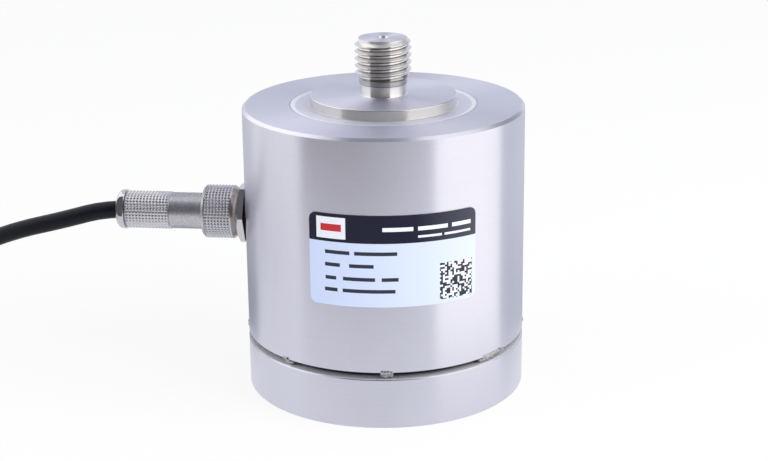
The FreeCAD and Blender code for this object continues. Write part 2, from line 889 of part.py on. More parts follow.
# Cable
def rounded_path(points):
    """Straight runs joined by tangent arcs as large as the runs allow, and the arcs' radii."""
    edges = []
    radii = []
    start = points[0]
    for before, corner, after in zip(points, points[1:], points[2:]):
        arriving = (corner - before).normalize()
        leaving = (after - corner).normalize()
        half_turn = arriving.getAngle(leaving) / 2
        shorter = min((corner - before).Length, (after - corner).Length)
        cut_back = SHARE_OF_RUN * shorter
        radius = cut_back / math.tan(half_turn)
        inwards = (leaving - arriving).normalize()
        arc_start = corner - arriving * cut_back
        arc_end = corner + leaving * cut_back
        arc_middle = corner + inwards * (radius / math.cos(half_turn) - radius)
        edges.append(Part.LineSegment(start, arc_start).toShape())
        edges.append(Part.Arc(arc_start, arc_middle, arc_end).toShape())
        radii.append(radius)
        start = arc_end
    edges.append(Part.LineSegment(start, points[-1]).toShape())
    return Part.Wire(edges), radii


def add_tube(label, path, diameter):
    """A round tube along a path, checked against its section times its length."""
    first = path.OrderedEdges[0]
    section = Part.makeCircle(
        diameter / 2, first.valueAt(first.FirstParameter), first.tangentAt(first.FirstParameter)
    )
    shape = path.makePipeShell([Part.Wire(section)], True, False)
    expected = math.pi * diameter**2 / 4 * path.Length
    if abs(shape.Volume - expected) > TOLERANCE * expected:
        raise RuntimeError(f"{label}: volume {shape.Volume:.1f}, expected {expected:.1f}")
    tube = doc.addObject("Part::Feature", label)
    tube.Label = label
    tube.Shape = shape
    pieces.append(tube)


def at_coil(angle, height):
    """A point of the outermost turn, and the way the cable runs there."""
    turn = math.radians(angle)
    reach = outer_turn_radius.value
    place = FreeCAD.Vector(
        COIL_CENTRE[0] + reach * math.cos(turn), COIL_CENTRE[1] + reach * math.sin(turn), height
    )
    return place, FreeCAD.Vector(-math.sin(turn), math.cos(turn), 0)


def make_cable_run():
    meeting, ahead = at_coil(COIL_ENTRY_ANGLE, top_turn_height.value)
    coil_face = meeting - ahead * COIL_STUB
    height = size.connector_height.value
    points = [
        FreeCAD.Vector(-jacket_start.value, 0, height),
        FreeCAD.Vector(-nut_end.value - CABLE_STRAIGHT, 0, height),
        *[FreeCAD.Vector(*place) for place in CABLE_ROUTE],
        coil_face - ahead * LAST_RUN,
        coil_face,
    ]
    path, radii = rounded_path(points)
    print("cable radii", [round(r, 1) for r in radii], "length", round(path.Length, 1))
    print("cable points", [tuple(round(c, 2) for c in p) for p in points])
    add_tube("cable_run", path, size.cable_diameter.value)


def make_cable_coil():
    """The outer shape of the wound turns, with a stub where the cable meets and leaves it."""
    ring = doc.addObject("PartDesign::Body", "coil_turns")
    section = rounded_box(coil_inner_radius, coil_outer_radius, coil_bottom, coil_top, cable_radius)
    revolve(ring, "coil_ring", [section])
    ring.Placement.Base = FreeCAD.Vector(*COIL_CENTRE, 0)
    stubs = []
    ends = {
        "coil_entry": (COIL_ENTRY_ANGLE, top_turn_height, -1),
        "coil_exit": (COIL_EXIT_ANGLE, low_turn_height, 1),
    }
    for name, (angle, height, way) in ends.items():
        place, ahead = at_coil(angle, height.value)
        stub = doc.addObject("Part::Cylinder", name)
        bind(stub, "Radius", cable_radius)
        stub.Height = COIL_STUB
        facing = FreeCAD.Rotation(FreeCAD.Vector(0, 0, 1), ahead * way)
        stub.Placement = FreeCAD.Placement(place, facing)
        stubs.append(stub)
    coil = doc.addObject("Part::MultiFuse", "cable_coil")
    coil.Label = "cable_coil"
    coil.Shapes = [ring, *stubs]
    pieces.append(coil)


def make_coil_ties():
    """Straps round the coil's section, which the coil lies on."""
    for number, angle in enumerate(TIE_ANGLES, start=1):
        body = new_body(f"coil_tie_{number}")
        inner = rounded_box(
            coil_inner_radius - size.tie_gap,
            coil_outer_radius + size.tie_gap,
            coil_bottom,
            coil_top + size.tie_gap,
            cable_radius,
        )
        outer = rounded_box(
            coil_inner_radius - size.tie_gap - size.tie_thickness,
            coil_outer_radius + size.tie_gap + size.tie_thickness,
            coil_bottom - size.tie_thickness,
            coil_top + size.tie_gap + size.tie_thickness,
            cable_radius + size.tie_thickness,
        )
        span = size.tie_width / coil_outer_radius / 2 * DEGREES_PER_DIAMETER
        revolve(body, f"strap_{number}", [outer, inner], span)
        body.Placement = FreeCAD.Placement(
            FreeCAD.Vector(*COIL_CENTRE, 0), FreeCAD.Rotation(FreeCAD.Vector(0, 0, 1), angle)
        )


def make_lead_end():
    """The shrunk sleeve on the cable's end, and the cores that come out of it."""
    place, ahead = at_coil(COIL_EXIT_ANGLE, low_turn_height.value)
    start = place + ahead * COIL_STUB
    sleeve_radius = cable_radius + size.lead_sleeve_wall
    end_radius = size.lead_sleeve_end_diameter / 2
    taper = size.lead_sleeve_length / 2
    sleeve = turned("lead_sleeve", [
        (0, 0),
        (sleeve_radius, 0),
        (sleeve_radius, taper),
        (end_radius, size.lead_sleeve_length),
        (0, size.lead_sleeve_length),
    ])
    sleeve.Placement = FreeCAD.Placement(
        start, FreeCAD.Rotation(FreeCAD.Vector(0, 0, 1), ahead)
    )
    face = start + ahead * size.lead_sleeve_length.value
    up = FreeCAD.Vector(0, 0, 1)
    aside = ahead.cross(up)
    for label, (near, far) in CORES.items():
        root = face + aside * near[0] + up * near[1]
        tip = face + ahead * CORE_LENGTH + aside * far[0] + up * far[1]
        path, _ = rounded_path([root, root + ahead * CORE_STRAIGHT, tip])
        add_tube(label, path, size.core_diameter.value)


def make_rating_label():
    body = new_body("rating_label")
    low = size.label_middle_height - size.label_height / 2
    high = size.label_middle_height + size.label_height / 2
    back = body_radius + size.label_adhesive
    film = revolve(body, "label_film", [[
        (back, low),
        (back + size.label_thickness, low),
        (back + size.label_thickness, high),
        (back, high),
    ]], size.label_width / size.body_diameter * DEGREES_PER_DIAMETER)
    doc.recompute()
    through = size.label_thickness.value
    corners = [
        f"Edge{number}"
        for number, edge in enumerate(film.Shape.Edges, start=1)
        if abs(edge.Length - through) < TOLERANCE * through
    ]
    rounding = body.newObject("PartDesign::Fillet", "label_corners")
    rounding.Base = (film, corners)
    bind(rounding, "Radius", size.label_corner)
    around_load_axis(body, size.label_side_angle)


# Build, check and write
def check_model():
    """Stops at anything that failed, is invalid, or cut nothing."""
    for thing in doc.Objects:
        if "Invalid" in thing.State or "Error" in thing.State:
            raise RuntimeError(f"{thing.Label}: {thing.State}")
    for cut in cuts:
        if cut.Shape.Volume > cut.BaseFeature.Shape.Volume - LEAST_CUT:
            raise RuntimeError(f"{cut.Label} cuts nothing")
    for piece in pieces:
        if piece.Shape.isNull() or not piece.Shape.isValid():
            raise RuntimeError(f"{piece.Label}: no valid shape")


def main():
    make_load_column()
    make_outer_sleeve()
    make_top_diaphragm()
    make_tack_welds()
    make_strain_gauges()
    make_bridge_board()
    make_trim_resistors()
    make_signal_wires()
    make_socket_shell()
    make_socket_oring()
    make_socket_insert()
    make_socket_pins()
    make_plug_body()
    make_plug_insert()
    make_plug_contacts()
    make_plug_cores()
    make_plug_gasket()
    make_coupling_ring()
    make_back_shell()
    make_clamp_ring("clamp_washer", cable_radius + size.cable_clearance, tail_end, washer_end)
    make_clamp_ring("cable_grommet", cable_radius + size.pin_clearance, washer_end, grommet_end)
    make_cable_nut()
    make_cable_run()
    make_cable_coil()
    make_coil_ties()
    make_lead_end()
    make_rating_label()
    doc.recompute()
    check_model()
    os.makedirs("parts", exist_ok=True)
    for piece in pieces:
        piece.Shape.exportStep(f"parts/{piece.Label}.step")
        print(piece.Label, len(piece.Shape.Solids), "solids,", round(piece.Shape.Volume, 1), "mm3")


main()
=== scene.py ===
import json
import math
import random

import bmesh
import bpy
from mathutils import Matrix, Vector, noise


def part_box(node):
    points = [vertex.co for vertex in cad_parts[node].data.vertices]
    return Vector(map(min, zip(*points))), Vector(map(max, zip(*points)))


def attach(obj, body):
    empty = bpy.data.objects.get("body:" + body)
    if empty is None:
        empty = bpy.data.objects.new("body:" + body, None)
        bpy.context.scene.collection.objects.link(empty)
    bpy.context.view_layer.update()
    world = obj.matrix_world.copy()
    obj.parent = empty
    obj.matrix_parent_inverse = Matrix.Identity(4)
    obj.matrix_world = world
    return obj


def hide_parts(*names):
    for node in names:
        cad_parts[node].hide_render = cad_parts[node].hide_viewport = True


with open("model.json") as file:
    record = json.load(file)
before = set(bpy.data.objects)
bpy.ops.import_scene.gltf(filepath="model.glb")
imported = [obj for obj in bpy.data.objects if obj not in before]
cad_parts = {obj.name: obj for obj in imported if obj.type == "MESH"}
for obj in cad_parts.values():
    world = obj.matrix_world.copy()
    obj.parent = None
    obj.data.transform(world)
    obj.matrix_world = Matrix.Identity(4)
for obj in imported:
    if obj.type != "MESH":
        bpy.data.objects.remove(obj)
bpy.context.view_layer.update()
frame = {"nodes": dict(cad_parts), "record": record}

# Column load cell: its looks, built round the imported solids.
# Metres, +Z up the load axis, origin at the middle of the base's underside, connector along -X.
MM = 0.001

# Camera: level distance and height, where it aims, its turn round the load axis, and small corrections
CAMERA_DISTANCE = 0.61598
CAMERA_HEIGHT = 0.25466
AIM_HEIGHT = 0.050
CAMERA_TURN = math.radians(6.75)
CAMERA_PAN = 0.0004
CAMERA_TILT = 0.0081
CAMERA_ROLL = 0.0105
CAMERA_LENS = 83.96

# Cable: its size and smoothness, the route from the clamp nut to the coil, then the coil's own values
CABLE_RADIUS = 0.0032
CABLE_ROUNDNESS = 7
CABLE_SMOOTHNESS = 5
CABLE_ORDER = 3
CABLE_ROUTE = [
    (-0.0845, 0.0, 0.0613),
    (-0.1008, 0.0, 0.0618),
    (-0.1195, 0.0002, 0.0563),
    (-0.1380, 0.0011, 0.0516),
    (-0.1560, 0.0032, 0.0440),
    (-0.1735, 0.0066, 0.0356),
    (-0.1900, 0.0109, 0.0280),
    (-0.20416, 0.01527, 0.02355),
    (-0.21652, 0.01929, 0.02355),
]
COIL_CENTRE = Vector((-0.255, -0.015, 0.0))
COIL_TURN_RADIUS = 0.038
COIL_PITCH = 0.0065
COIL_LOW = 0.00405
COIL_COLUMNS = 3
COIL_LAYERS = 4
COIL_ENTRY = 72.0
COIL_EXIT = 300.0
COIL_CHANGES = COIL_COLUMNS * COIL_LAYERS - 1
COIL_SHIFT_START = 262.0
COIL_SHIFT_SPAN = 96.0
COIL_SWING = 0.0023
COIL_STEP = 15.0
COIL_STUB = 0.026
FULL_TURN = 360.0

# Sizes that the frame gives
sleeve_low, sleeve_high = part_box("outer_sleeve")
column_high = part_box("load_column")[1]
ring_low, ring_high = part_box("coupling_ring")
shell_low, shell_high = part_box("back_shell")
BODY_RADIUS = column_high.x
RIM_HEIGHT = sleeve_low.z
SLEEVE_TOP = sleeve_high.z
STUD_TOP = column_high.z
CONNECTOR_HEIGHT = (ring_low.z + ring_high.z) / 2
MOUNTS = {mount["name"]: mount for mount in frame["record"]["mounts"]}
STUD_RADIUS = MOUNTS["top_stud"]["dims"]["r_mm"] * MM
HOLE_RADIUS = MOUNTS["base_thread"]["dims"]["r_mm"] * MM
BOSS_TOP = MOUNTS["load_face"]["pos_m"][2]

# Turned column, thread and centre drilling
COLUMN_STEPS = 360
HEAD_RADIUS = 0.026
HEAD_BOTTOM = 0.088
COLUMN_RADIUS = 0.018
COLUMN_FILLET = 0.006
FILLET_STEPS = 6
FILLET_MIDDLE = 0.25
SPIGOT_RADIUS = 0.0459
SPIGOT_TOP = 0.026
BASE_TOP = 0.01805
BASE_CHAMFER = 0.0004
FOOT_CHAMFER = 0.0005
BOSS_EDGE = 0.0004
FOOT_FILLET = 0.0004
FOOT_FILLET_LOW = 0.10272
HOLE_DEPTH = 0.020
HOLE_TIP = 0.02526
HOLE_CHAMFER = 0.00075
UNDERCUT_RADIUS = 0.0082
NECK_FILLET = 0.0003
SHADING_RING = 0.0001
NECK_TOP = 0.11025
ROOT_START = 0.11050
ROOT_RADIUS = 0.00846
RUN_OUT_START = 0.1120
RUN_OUT_END = 0.1145
STUD_CHAMFER = 0.0015
CENTRE_RADIUS = 0.002125
PILOT_RADIUS = 0.0007
PILOT_TOP = 0.12403
PILOT_BOTTOM = 0.12153
THREAD_PITCH = 0.0025
THREAD_CREST_HEIGHT = 0.11917
THREAD_CREST_ANGLE = math.radians(186.75)
# Thread form over one pitch: share of the pitch from the crest's middle, and depth below the crest
THREAD_FORM = [
    (0.0, 0.0),
    (0.055, 0.0),
    (0.070, 0.00005),
    (0.365, 0.00146),
    (0.400, 0.00154),
    (0.5, 0.00154),
    (0.600, 0.00154),
    (0.635, 0.00146),
    (0.930, 0.00005),
    (0.945, 0.0),
]

# Cross knurl: grooves at the edges of square pads, as shares of a pad's pitch and of the depth
KNURL_FORM = [
    (0.0, 1.0),
    (0.12, 0.85),
    (0.25, 0.25),
    (0.32, 0.0),
    (0.68, 0.0),
    (0.75, 0.25),
    (0.88, 0.85),
]
SHARP_ANGLE = math.radians(32.0)
WELD_DISTANCE = 1e-7


def add_object(name, data):
    """A new object in the scene."""
    made = bpy.data.objects.new(name, data)
    bpy.context.scene.collection.objects.link(made)
    return made


def aim_from(place):
    """The turn that looks from a place at the middle of the part."""
    return (Vector((0.0, 0.0, AIM_HEIGHT)) - place).to_track_quat("-Z", "Y").to_matrix()


def make_camera():
    place = Vector((
        CAMERA_DISTANCE * math.sin(CAMERA_TURN),
        -CAMERA_DISTANCE * math.cos(CAMERA_TURN),
        CAMERA_HEIGHT,
    ))
    look = aim_from(place) @ Matrix.Rotation(CAMERA_PAN, 3, "Y")
    look = look @ Matrix.Rotation(CAMERA_TILT, 3, "X")
    look = look @ Matrix.Rotation(-CAMERA_ROLL, 3, "Z")
    lens = bpy.data.cameras.new("camera")
    lens.lens = CAMERA_LENS
    camera = add_object("camera", lens)
    camera.matrix_world = Matrix.Translation(place) @ look.to_4x4()
    bpy.context.scene.camera = camera


# Node helpers, and a colour mix's sockets by number
MIX_SHARE = 0
MIX_FIRST = 6
MIX_SECOND = 7
MIX_RESULT = 2
FLOAT = "NodeSocketFloat"
VECTOR = "NodeSocketVector"


def add_node(tree, kind, inputs=None, **settings):
    """A shader node with its settings, and its inputs linked to sockets or set to values and tones."""
    made = tree.nodes.new("ShaderNode" + kind)
    for name, value in settings.items():
        setattr(made, name, value)
    for name, value in (inputs or {}).items():
        socket = made.inputs[name]
        if isinstance(value, bpy.types.NodeSocket):
            tree.links.new(value, socket)
        elif socket.type == "RGBA":
            socket.default_value = (*value, 1.0)
        else:
            socket.default_value = value
    return made


def follow(kind, inputs, **settings):
    """The outputs of a node that takes some sockets, put in their tree."""
    trees = [value.id_data for value in inputs.values() if isinstance(value, bpy.types.NodeSocket)]
    return add_node(trees[0], kind, inputs, **settings).outputs


def feed(node, sockets):
    """Links made values to a node's inputs."""
    for name, value in sockets.items():
        node.id_data.links.new(value, node.inputs[name])


def reckon(operation, first, second=0.0):
    """The output of a Math node."""
    return follow("Math", {0: first, 1: second}, operation=operation)[0]


def product(*values):
    """Values multiplied with each other."""
    result = values[0]
    for value in values[1:]:
        result = reckon("MULTIPLY", result, value)
    return result


def ramp(value, low, high, from_low, from_high):
    """A value taken from one range to another, and kept there."""
    inputs = {
        "Value": value,
        "From Min": from_low,
        "From Max": from_high,
        "To Min": low,
        "To Max": high,
    }
    return follow("MapRange", inputs)[0]


def rise(value, low, high):
    """0 up to one value, rising to 1 at another."""
    return ramp(value, 0.0, 1.0, low, high)


def blend_colours(share, first, second):
    inputs = {MIX_SHARE: share, MIX_FIRST: first, MIX_SECOND: second}
    return follow("Mix", inputs, data_type="RGBA")[MIX_RESULT]


def noise_value(vector, scale, detail, roughness):
    inputs = {"Vector": vector, "Scale": scale, "Detail": detail, "Roughness": roughness}
    return follow("TexNoise", inputs)[0]


def split(place):
    """The X, Y and Z of a point."""
    return follow("SeparateXYZ", {0: place})


def height_and_reach(place):
    """How high a point is, and how far from the Z axis."""
    across, ahead, height = split(place)
    squares = [reckon("POWER", part, 2.0) for part in (across, ahead)]
    return height, reckon("SQRT", reckon("ADD", *squares))


def new_group(name, inputs, outputs):
    """A shader group with named sockets: returns its tree, its input node and its output node."""
    tree = bpy.data.node_groups.new(name, "ShaderNodeTree")
    for socket, (kind, value) in inputs.items():
        made = tree.interface.new_socket(socket, in_out="INPUT", socket_type=kind)
        if value is not None:
            made.default_value = value
    for socket, kind in outputs.items():
        tree.interface.new_socket(socket, in_out="OUTPUT", socket_type=kind)
    return tree, tree.nodes.new("NodeGroupInput"), tree.nodes.new("NodeGroupOutput")


def place_group(group, inputs):
    return follow("Group", inputs, node_tree=group)


# Shared effects: usual counts per metre, then the scale, detail and roughness of their noises
LINE_COUNT = 900.0
LINE_DETAIL = 3.0
LINE_ROUGHNESS = 0.7
LINE_PATCHINESS = 0.35
PATCH_NOISE = (120.0, 2.0, 0.5)
HAZE_NOISE = (38.0, 3.0, 0.55)
GRAIN_COUNT = 4000.0
GRAIN_NOISE = (3.0, 0.6)
CLOUD_NOISE = (90.0, 2.0, 0.5)


def make_turning_lines():
    """Lines left by a lathe: rings along the turned axis (local Z) and circles across its end faces."""
    tree, given, result = new_group("turning_lines", {
        "Place": (VECTOR, None),
        "Lines per Metre": (FLOAT, LINE_COUNT),
        "Patchiness": (FLOAT, LINE_PATCHINESS),
    }, {"Lines": FLOAT, "Haze": FLOAT})
    place = given.outputs["Place"]
    lines = follow("TexNoise", {
        "W": reckon("ADD", *height_and_reach(place)),
        "Scale": given.outputs["Lines per Metre"],
        "Detail": LINE_DETAIL,
        "Roughness": LINE_ROUGHNESS,
    }, noise_dimensions="1D")[0]
    patches = reckon("SUBTRACT", noise_value(place, *PATCH_NOISE), 0.5)
    lift = product(patches, given.outputs["Patchiness"])
    feed(result, {
        "Lines": reckon("ADD", lines, lift),
        "Haze": noise_value(place, *HAZE_NOISE),
    })
    return tree


def make_fine_grain():
    """Even small-scale grain, for blasted plating, moulded plastic, rubber and film."""
    tree, given, result = new_group("fine_grain", {
        "Place": (VECTOR, None),
        "Grains per Metre": (FLOAT, GRAIN_COUNT),
    }, {"Grain": FLOAT, "Clouds": FLOAT})
    place = given.outputs["Place"]
    feed(result, {
        "Grain": noise_value(place, given.outputs["Grains per Metre"], *GRAIN_NOISE),
        "Clouds": noise_value(place, *CLOUD_NOISE),
    })
    return tree


def make_print_box():
    """A mask that is 1 inside a rectangle of print."""
    spans = {"Across": ("Left", "Right"), "Up": ("Low", "High")}
    names = [*spans, *spans["Across"], *spans["Up"]]
    tree, given, result = new_group("print_box", {name: (FLOAT, 0.0) for name in names}, {"Mask": FLOAT})
    sides = []
    for value, (low, high) in spans.items():
        sides.append(reckon("GREATER_THAN", given.outputs[value], given.outputs[low]))
        sides.append(reckon("LESS_THAN", given.outputs[value], given.outputs[high]))
    feed(result, {"Mask": product(*sides)})
    return tree


TURNING_LINES = make_turning_lines()
FINE_GRAIN = make_fine_grain()
PRINT_BOX = make_print_box()

# Materials: the spans that one noise and two added noises mostly keep to, and the soft edge of masks
NOISE_SPAN = (0.3, 0.7)
SUM_SPAN = (0.7, 1.3)
MASK_EDGE = 0.05 * MM


def surface_place(tree):
    """The point of the surface in the part's frame."""
    return add_node(tree, "TexCoord").outputs["Object"]


def new_material(name, sockets):
    """A material with plain values on its shader's own sockets: returns it and its surface's point."""
    material = bpy.data.materials.new(name)
    material.use_nodes = True
    shader = material.node_tree.nodes["Principled BSDF"]
    for socket, value in sockets.items():
        shader.inputs[socket].default_value = value
    return material, surface_place(material.node_tree)


def on_connector(place):
    """A point with the connector's axis as local Z."""
    shift = {0: place, 1: (0.0, 0.0, CONNECTOR_HEIGHT)}
    parts = split(follow("VectorMath", shift, operation="SUBTRACT")[0])
    return follow("CombineXYZ", {0: parts[1], 1: parts[2], 2: parts[0]})[0]


def finished(material, colour, rough, height, depth, **others):
    """A material with made values linked to its shader, and with relief of some height and depth."""
    normal = follow("Bump", {"Height": height, "Distance": depth, "Strength": 1.0})[0]
    sockets = {"Base Color": colour, "Roughness": rough, "Normal": normal, **others}
    feed(material.node_tree.nodes["Principled BSDF"], sockets)
    return material


def lathe_tangent(place, axis):
    """The way round an axis, which turns the reflection's stretch across the turning lines."""
    return add_node(place.id_data, "Tangent", direction_type="RADIAL", axis=axis).outputs[0]


def lines_of(place, count):
    """The turning lines and the haze of a surface."""
    made = place_group(TURNING_LINES, {"Place": place, "Lines per Metre": count})
    return made["Lines"], made["Haze"]


def grain_of(place, count):
    """The grain and the clouds of a surface."""
    made = place_group(FINE_GRAIN, {"Place": place, "Grains per Metre": count})
    return made["Grain"], made["Clouds"]


def roughened(value, limits):
    """Roughness that follows a noise between two limits."""
    return ramp(value, *limits, *NOISE_SPAN)


def band_mask(value, low, high):
    """1 between two values, falling to 0 over a soft edge outside them; None leaves an end open."""
    ends = []
    if low is not None:
        ends.append(rise(value, low - MASK_EDGE, low))
    if high is not None:
        ends.append(ramp(value, 1.0, 0.0, high, high + MASK_EDGE))
    return product(*ends)


def print_mask(across, up, rows):
    """A mask of rows of rectangles, given in millimetres as (low, high): [(left, right), ...]."""
    mask = 0.0
    for (low, high), spans in rows.items():
        for left, right in spans:
            box = place_group(PRINT_BOX, {
                "Across": across, "Left": left * MM, "Right": right * MM,
                "Up": up, "Low": low * MM, "High": high * MM,
            })
            mask = reckon("MAXIMUM", mask, box["Mask"])
    return mask


# Turned steel: tones, lines and roughness, then where its thread's corners, ledge, rim and edges change;
# several zones carry painted shade and one a painted highlight
ACROSS_LINES = 0.25
STEEL_DARK = (0.620, 0.622, 0.728)
STEEL_LIGHT = (0.652, 0.654, 0.762)
STEEL_STRETCH = 0.78
STEEL_LINES = 1500.0
STEEL_GRAINS = 1500.0
STEEL_ROUGH = (0.30, 0.34)
STEEL_LINE_DEPTH = 0.0012 * MM
WALL_LINE_SHARE = 0.45
CORNER_LOW = (0.00847, 0.00853)
# Reaches over which the painted shade in the thread's roots fades out
ROOT_SHADE_FADE = (0.0086, 0.0092)
# The ledge: painted shade deep in the slit, its own tone, and the reaches over which the shade fades
LEDGE_SHADE = (0.260, 0.258, 0.270)
LEDGE_STEEL = (0.860, 0.860, 0.900)
LEDGE_SHADE_FADE = (0.0459, 0.0468)
# Height of the painted shadow line on the sleeve's wall above its lower edge
RIM_SHADOW_LINE = 0.16 * MM
BOSS_EDGE_CUT = 0.32 * MM
DIAPHRAGM_DROP = 0.95 * MM
ABOVE_TOP = (FOOT_FILLET_LOW - MASK_EDGE, None)
STUD_FOOT = BOSS_TOP + MASK_EDGE
STUD_HEAD = STUD_TOP - 2 * MASK_EDGE
THREAD_END = STUD_TOP - STUD_CHAMFER
WITHIN_STUD = (None, STUD_RADIUS)
# Zones that differ: heights from and to, then reaches from and to, None where they are open
ZONES = {
    "boss_side": (ABOVE_TOP, (HEAD_RADIUS - BOSS_EDGE_CUT, HEAD_RADIUS + FOOT_FILLET)),
    "stud": ((STUD_FOOT, STUD_HEAD), WITHIN_STUD),
    "stud_end": ((THREAD_END + MASK_EDGE, STUD_HEAD), WITHIN_STUD),
    "neck": ((STUD_FOOT, NECK_TOP), WITHIN_STUD),
    # The collar's step, which carries a painted shade line
    "collar_edge": ((NECK_TOP, ROOT_START), WITHIN_STUD),
    "collar": ((ROOT_START, RUN_OUT_START), WITHIN_STUD),
    "threaded": ((RUN_OUT_START, THREAD_END), WITHIN_STUD),
    # The spigot's wall inside the slit, which carries painted shade
    "gap": ((0.0182, 0.0262), (0.0450, 0.0462)),
    # The sleeve's wall just above its lower edge, which carries a painted shadow line
    "rim": ((RIM_HEIGHT - MASK_EDGE, RIM_HEIGHT + RIM_SHADOW_LINE), (0.04965, None)),
    "ledge": ((BASE_TOP - BASE_CHAMFER / 2, 0.0182), (0.0452, 0.0497)),
    "diaphragm": ((SLEEVE_TOP - DIAPHRAGM_DROP, None), (HEAD_RADIUS, 0.0311)),
    # The ring of the top's bevel, which carries a painted highlight
    "bevel": (ABOVE_TOP, (0.0312, 0.0328)),
    # A thin ring at the bevel's outer edge, which carries a painted shade line
    "seam": (ABOVE_TOP, (0.0330, 0.0331)),
    "top": (ABOVE_TOP, (None, 0.0489)),
}
# Tones of zones, laid over each other in this order
ZONE_TONES = {
    "boss_side": (0.625, 0.615, 0.612),
    "stud": (0.750, 0.738, 0.742),
    "neck": (0.800, 0.790, 0.790),
    "collar": (0.490, 0.480, 0.480),
    "flank": (0.710, 0.698, 0.700),
    # Painted shade in the thread's root corners and on the collar's step
    "corner": (0.300, 0.288, 0.290),
    "collar_edge": (0.300, 0.288, 0.290),
    # Painted shade, nearly black, on the spigot's wall inside the slit
    "gap": (0.030, 0.030, 0.034),
    # Painted shadow line under the sleeve's edge
    "rim": (0.070, 0.068, 0.072),
    # Painted highlight on the top's bevel
    "bevel": (0.780, 0.795, 0.865),
    # Painted shade line at the bevel's outer edge
    "seam": (0.400, 0.408, 0.450),
}
# What zones add to the roughness, and what they take from the metal's share
ZONE_ROUGH = {"boss_side": -0.08, "stud": -0.14, "stud_end": 0.22, "coarse": 0.17, "ledge": 0.25}
ZONE_DULL = {"ledge": 0.45, "diaphragm": 0.28, "bevel": 0.60}


def make_turned_steel():
    """Stainless steel as it comes off the lathe, with zones that are finer, coarser or duller, and zones
    of painted shade and painted highlight.
    """
    material, place = new_material("turned_steel", {
        "Anisotropic": STEEL_STRETCH, "Anisotropic Rotation": ACROSS_LINES,
    })
    lines, haze = lines_of(place, STEEL_LINES)
    grain, _ = grain_of(place, STEEL_GRAINS)
    height, reach = height_and_reach(place)
    zone = {}
    for name, (heights, reaches) in ZONES.items():
        zone[name] = product(band_mask(height, *heights), band_mask(reach, *reaches))
    zone["flank"] = product(zone["threaded"], rise(reach, *CORNER_LOW))
    # Painted shade in the thread's roots, fading out up the flanks
    zone["corner"] = product(zone["flank"], ramp(reach, 1.0, 0.0, *ROOT_SHADE_FADE))
    polished = reckon("MAXIMUM", zone["stud"], zone["boss_side"])
    zone["coarse"] = product(zone["top"], reckon("SUBTRACT", 1.0, polished))
    tone = rise(reckon("ADD", lines, grain), *SUM_SPAN)
    colour = blend_colours(tone, STEEL_DARK, STEEL_LIGHT)
    for name, finish in ZONE_TONES.items():
        colour = blend_colours(zone[name], colour, finish)
    # Painted shade: the ledge is dark deep in the slit and lightens towards its outer edge
    ledge = blend_colours(rise(reach, *LEDGE_SHADE_FADE), LEDGE_SHADE, LEDGE_STEEL)
    colour = blend_colours(zone["ledge"], colour, ledge)
    rough = roughened(haze, STEEL_ROUGH)
    for name, change in ZONE_ROUGH.items():
        rough = reckon("ADD", rough, product(zone[name], change))
    metal = 1.0
    for name, loss in ZONE_DULL.items():
        metal = reckon("SUBTRACT", metal, product(zone[name], loss))
    share = ramp(zone["top"], WALL_LINE_SHARE, 1.0, 0.0, 1.0)
    relief = product(lines, product(share, reckon("SUBTRACT", 1.0, zone["stud"])))
    around = lathe_tangent(place, "Z")
    return finished(material, colour, rough, relief, STEEL_LINE_DEPTH, Metallic=metal, Tangent=around)


# Plated and bare metals: darker tone, lighter tone, roughness range, grains per metre, grain depth
METALS = {
    "nickel_plate": ((0.520, 0.518, 0.560), (0.640, 0.637, 0.685), (0.20, 0.29), 2500.0, 0.003 * MM),
    "weld_metal": ((0.120, 0.117, 0.130), (0.620, 0.615, 0.650), (0.26, 0.46), 1500.0, 0.06 * MM),
    "contact_metal": ((0.620, 0.440, 0.170), (0.780, 0.580, 0.260), (0.16, 0.26), 2500.0, 0.002 * MM),
    "drain_copper": ((0.420, 0.400, 0.385), (0.660, 0.630, 0.610), (0.24, 0.38), 3000.0, 0.02 * MM),
}
# The ring's front end, and the tone of the painted brown reflection on it
RING_FRONT = (-0.0547, -0.0527)
RING_FRONT_REFLECTION = (0.450, 0.395, 0.370)


def make_metal(name):
    """Plated or bare metal: two tones in clouds with a fine grain, and a painted brown reflection on the
    ring's front end.
    """
    dark, light, roughness, grains, depth = METALS[name]
    material, place = new_material(name, {"Metallic": 1.0})
    grain, clouds = grain_of(place, grains)
    tone = rise(reckon("ADD", clouds, grain), *SUM_SPAN)
    # Painted brown reflection on the ring's front end
    front = band_mask(split(place)[0], *RING_FRONT)
    colour = blend_colours(front, blend_colours(tone, dark, light), RING_FRONT_REFLECTION)
    return finished(material, colour, roughened(clouds, roughness), grain, depth)


# Satin plating: tones, stretch, lines and grains per metre, roughness, the lines' share, grain depth
SATIN_DARK = (0.385, 0.388, 0.430)
SATIN_LIGHT = (0.560, 0.563, 0.615)
SATIN_STRETCH = 0.45
SATIN_LINES = 2600.0
SATIN_GRAINS = 1700.0
SATIN_ROUGH = (0.38, 0.48)
SATIN_LINE_SHARE = 0.3
SATIN_SPAN = (0.5, 0.8)
SATIN_DEPTH = 0.006 * MM


def make_satin_nickel():
    """The plug's plain sleeve: plating with a fine turned satin."""
    material, place = new_material("satin_nickel", {
        "Metallic": 1.0, "Anisotropic": SATIN_STRETCH, "Anisotropic Rotation": ACROSS_LINES,
    })
    place = on_connector(place)
    lines, _ = lines_of(place, SATIN_LINES)
    grain, clouds = grain_of(place, SATIN_GRAINS)
    mottle = reckon("ADD", grain, product(lines, SATIN_LINE_SHARE))
    colour = blend_colours(rise(mottle, *SATIN_SPAN), SATIN_DARK, SATIN_LIGHT)
    rough = roughened(clouds, SATIN_ROUGH)
    return finished(material, colour, rough, grain, SATIN_DEPTH, Tangent=lathe_tangent(place, "X"))


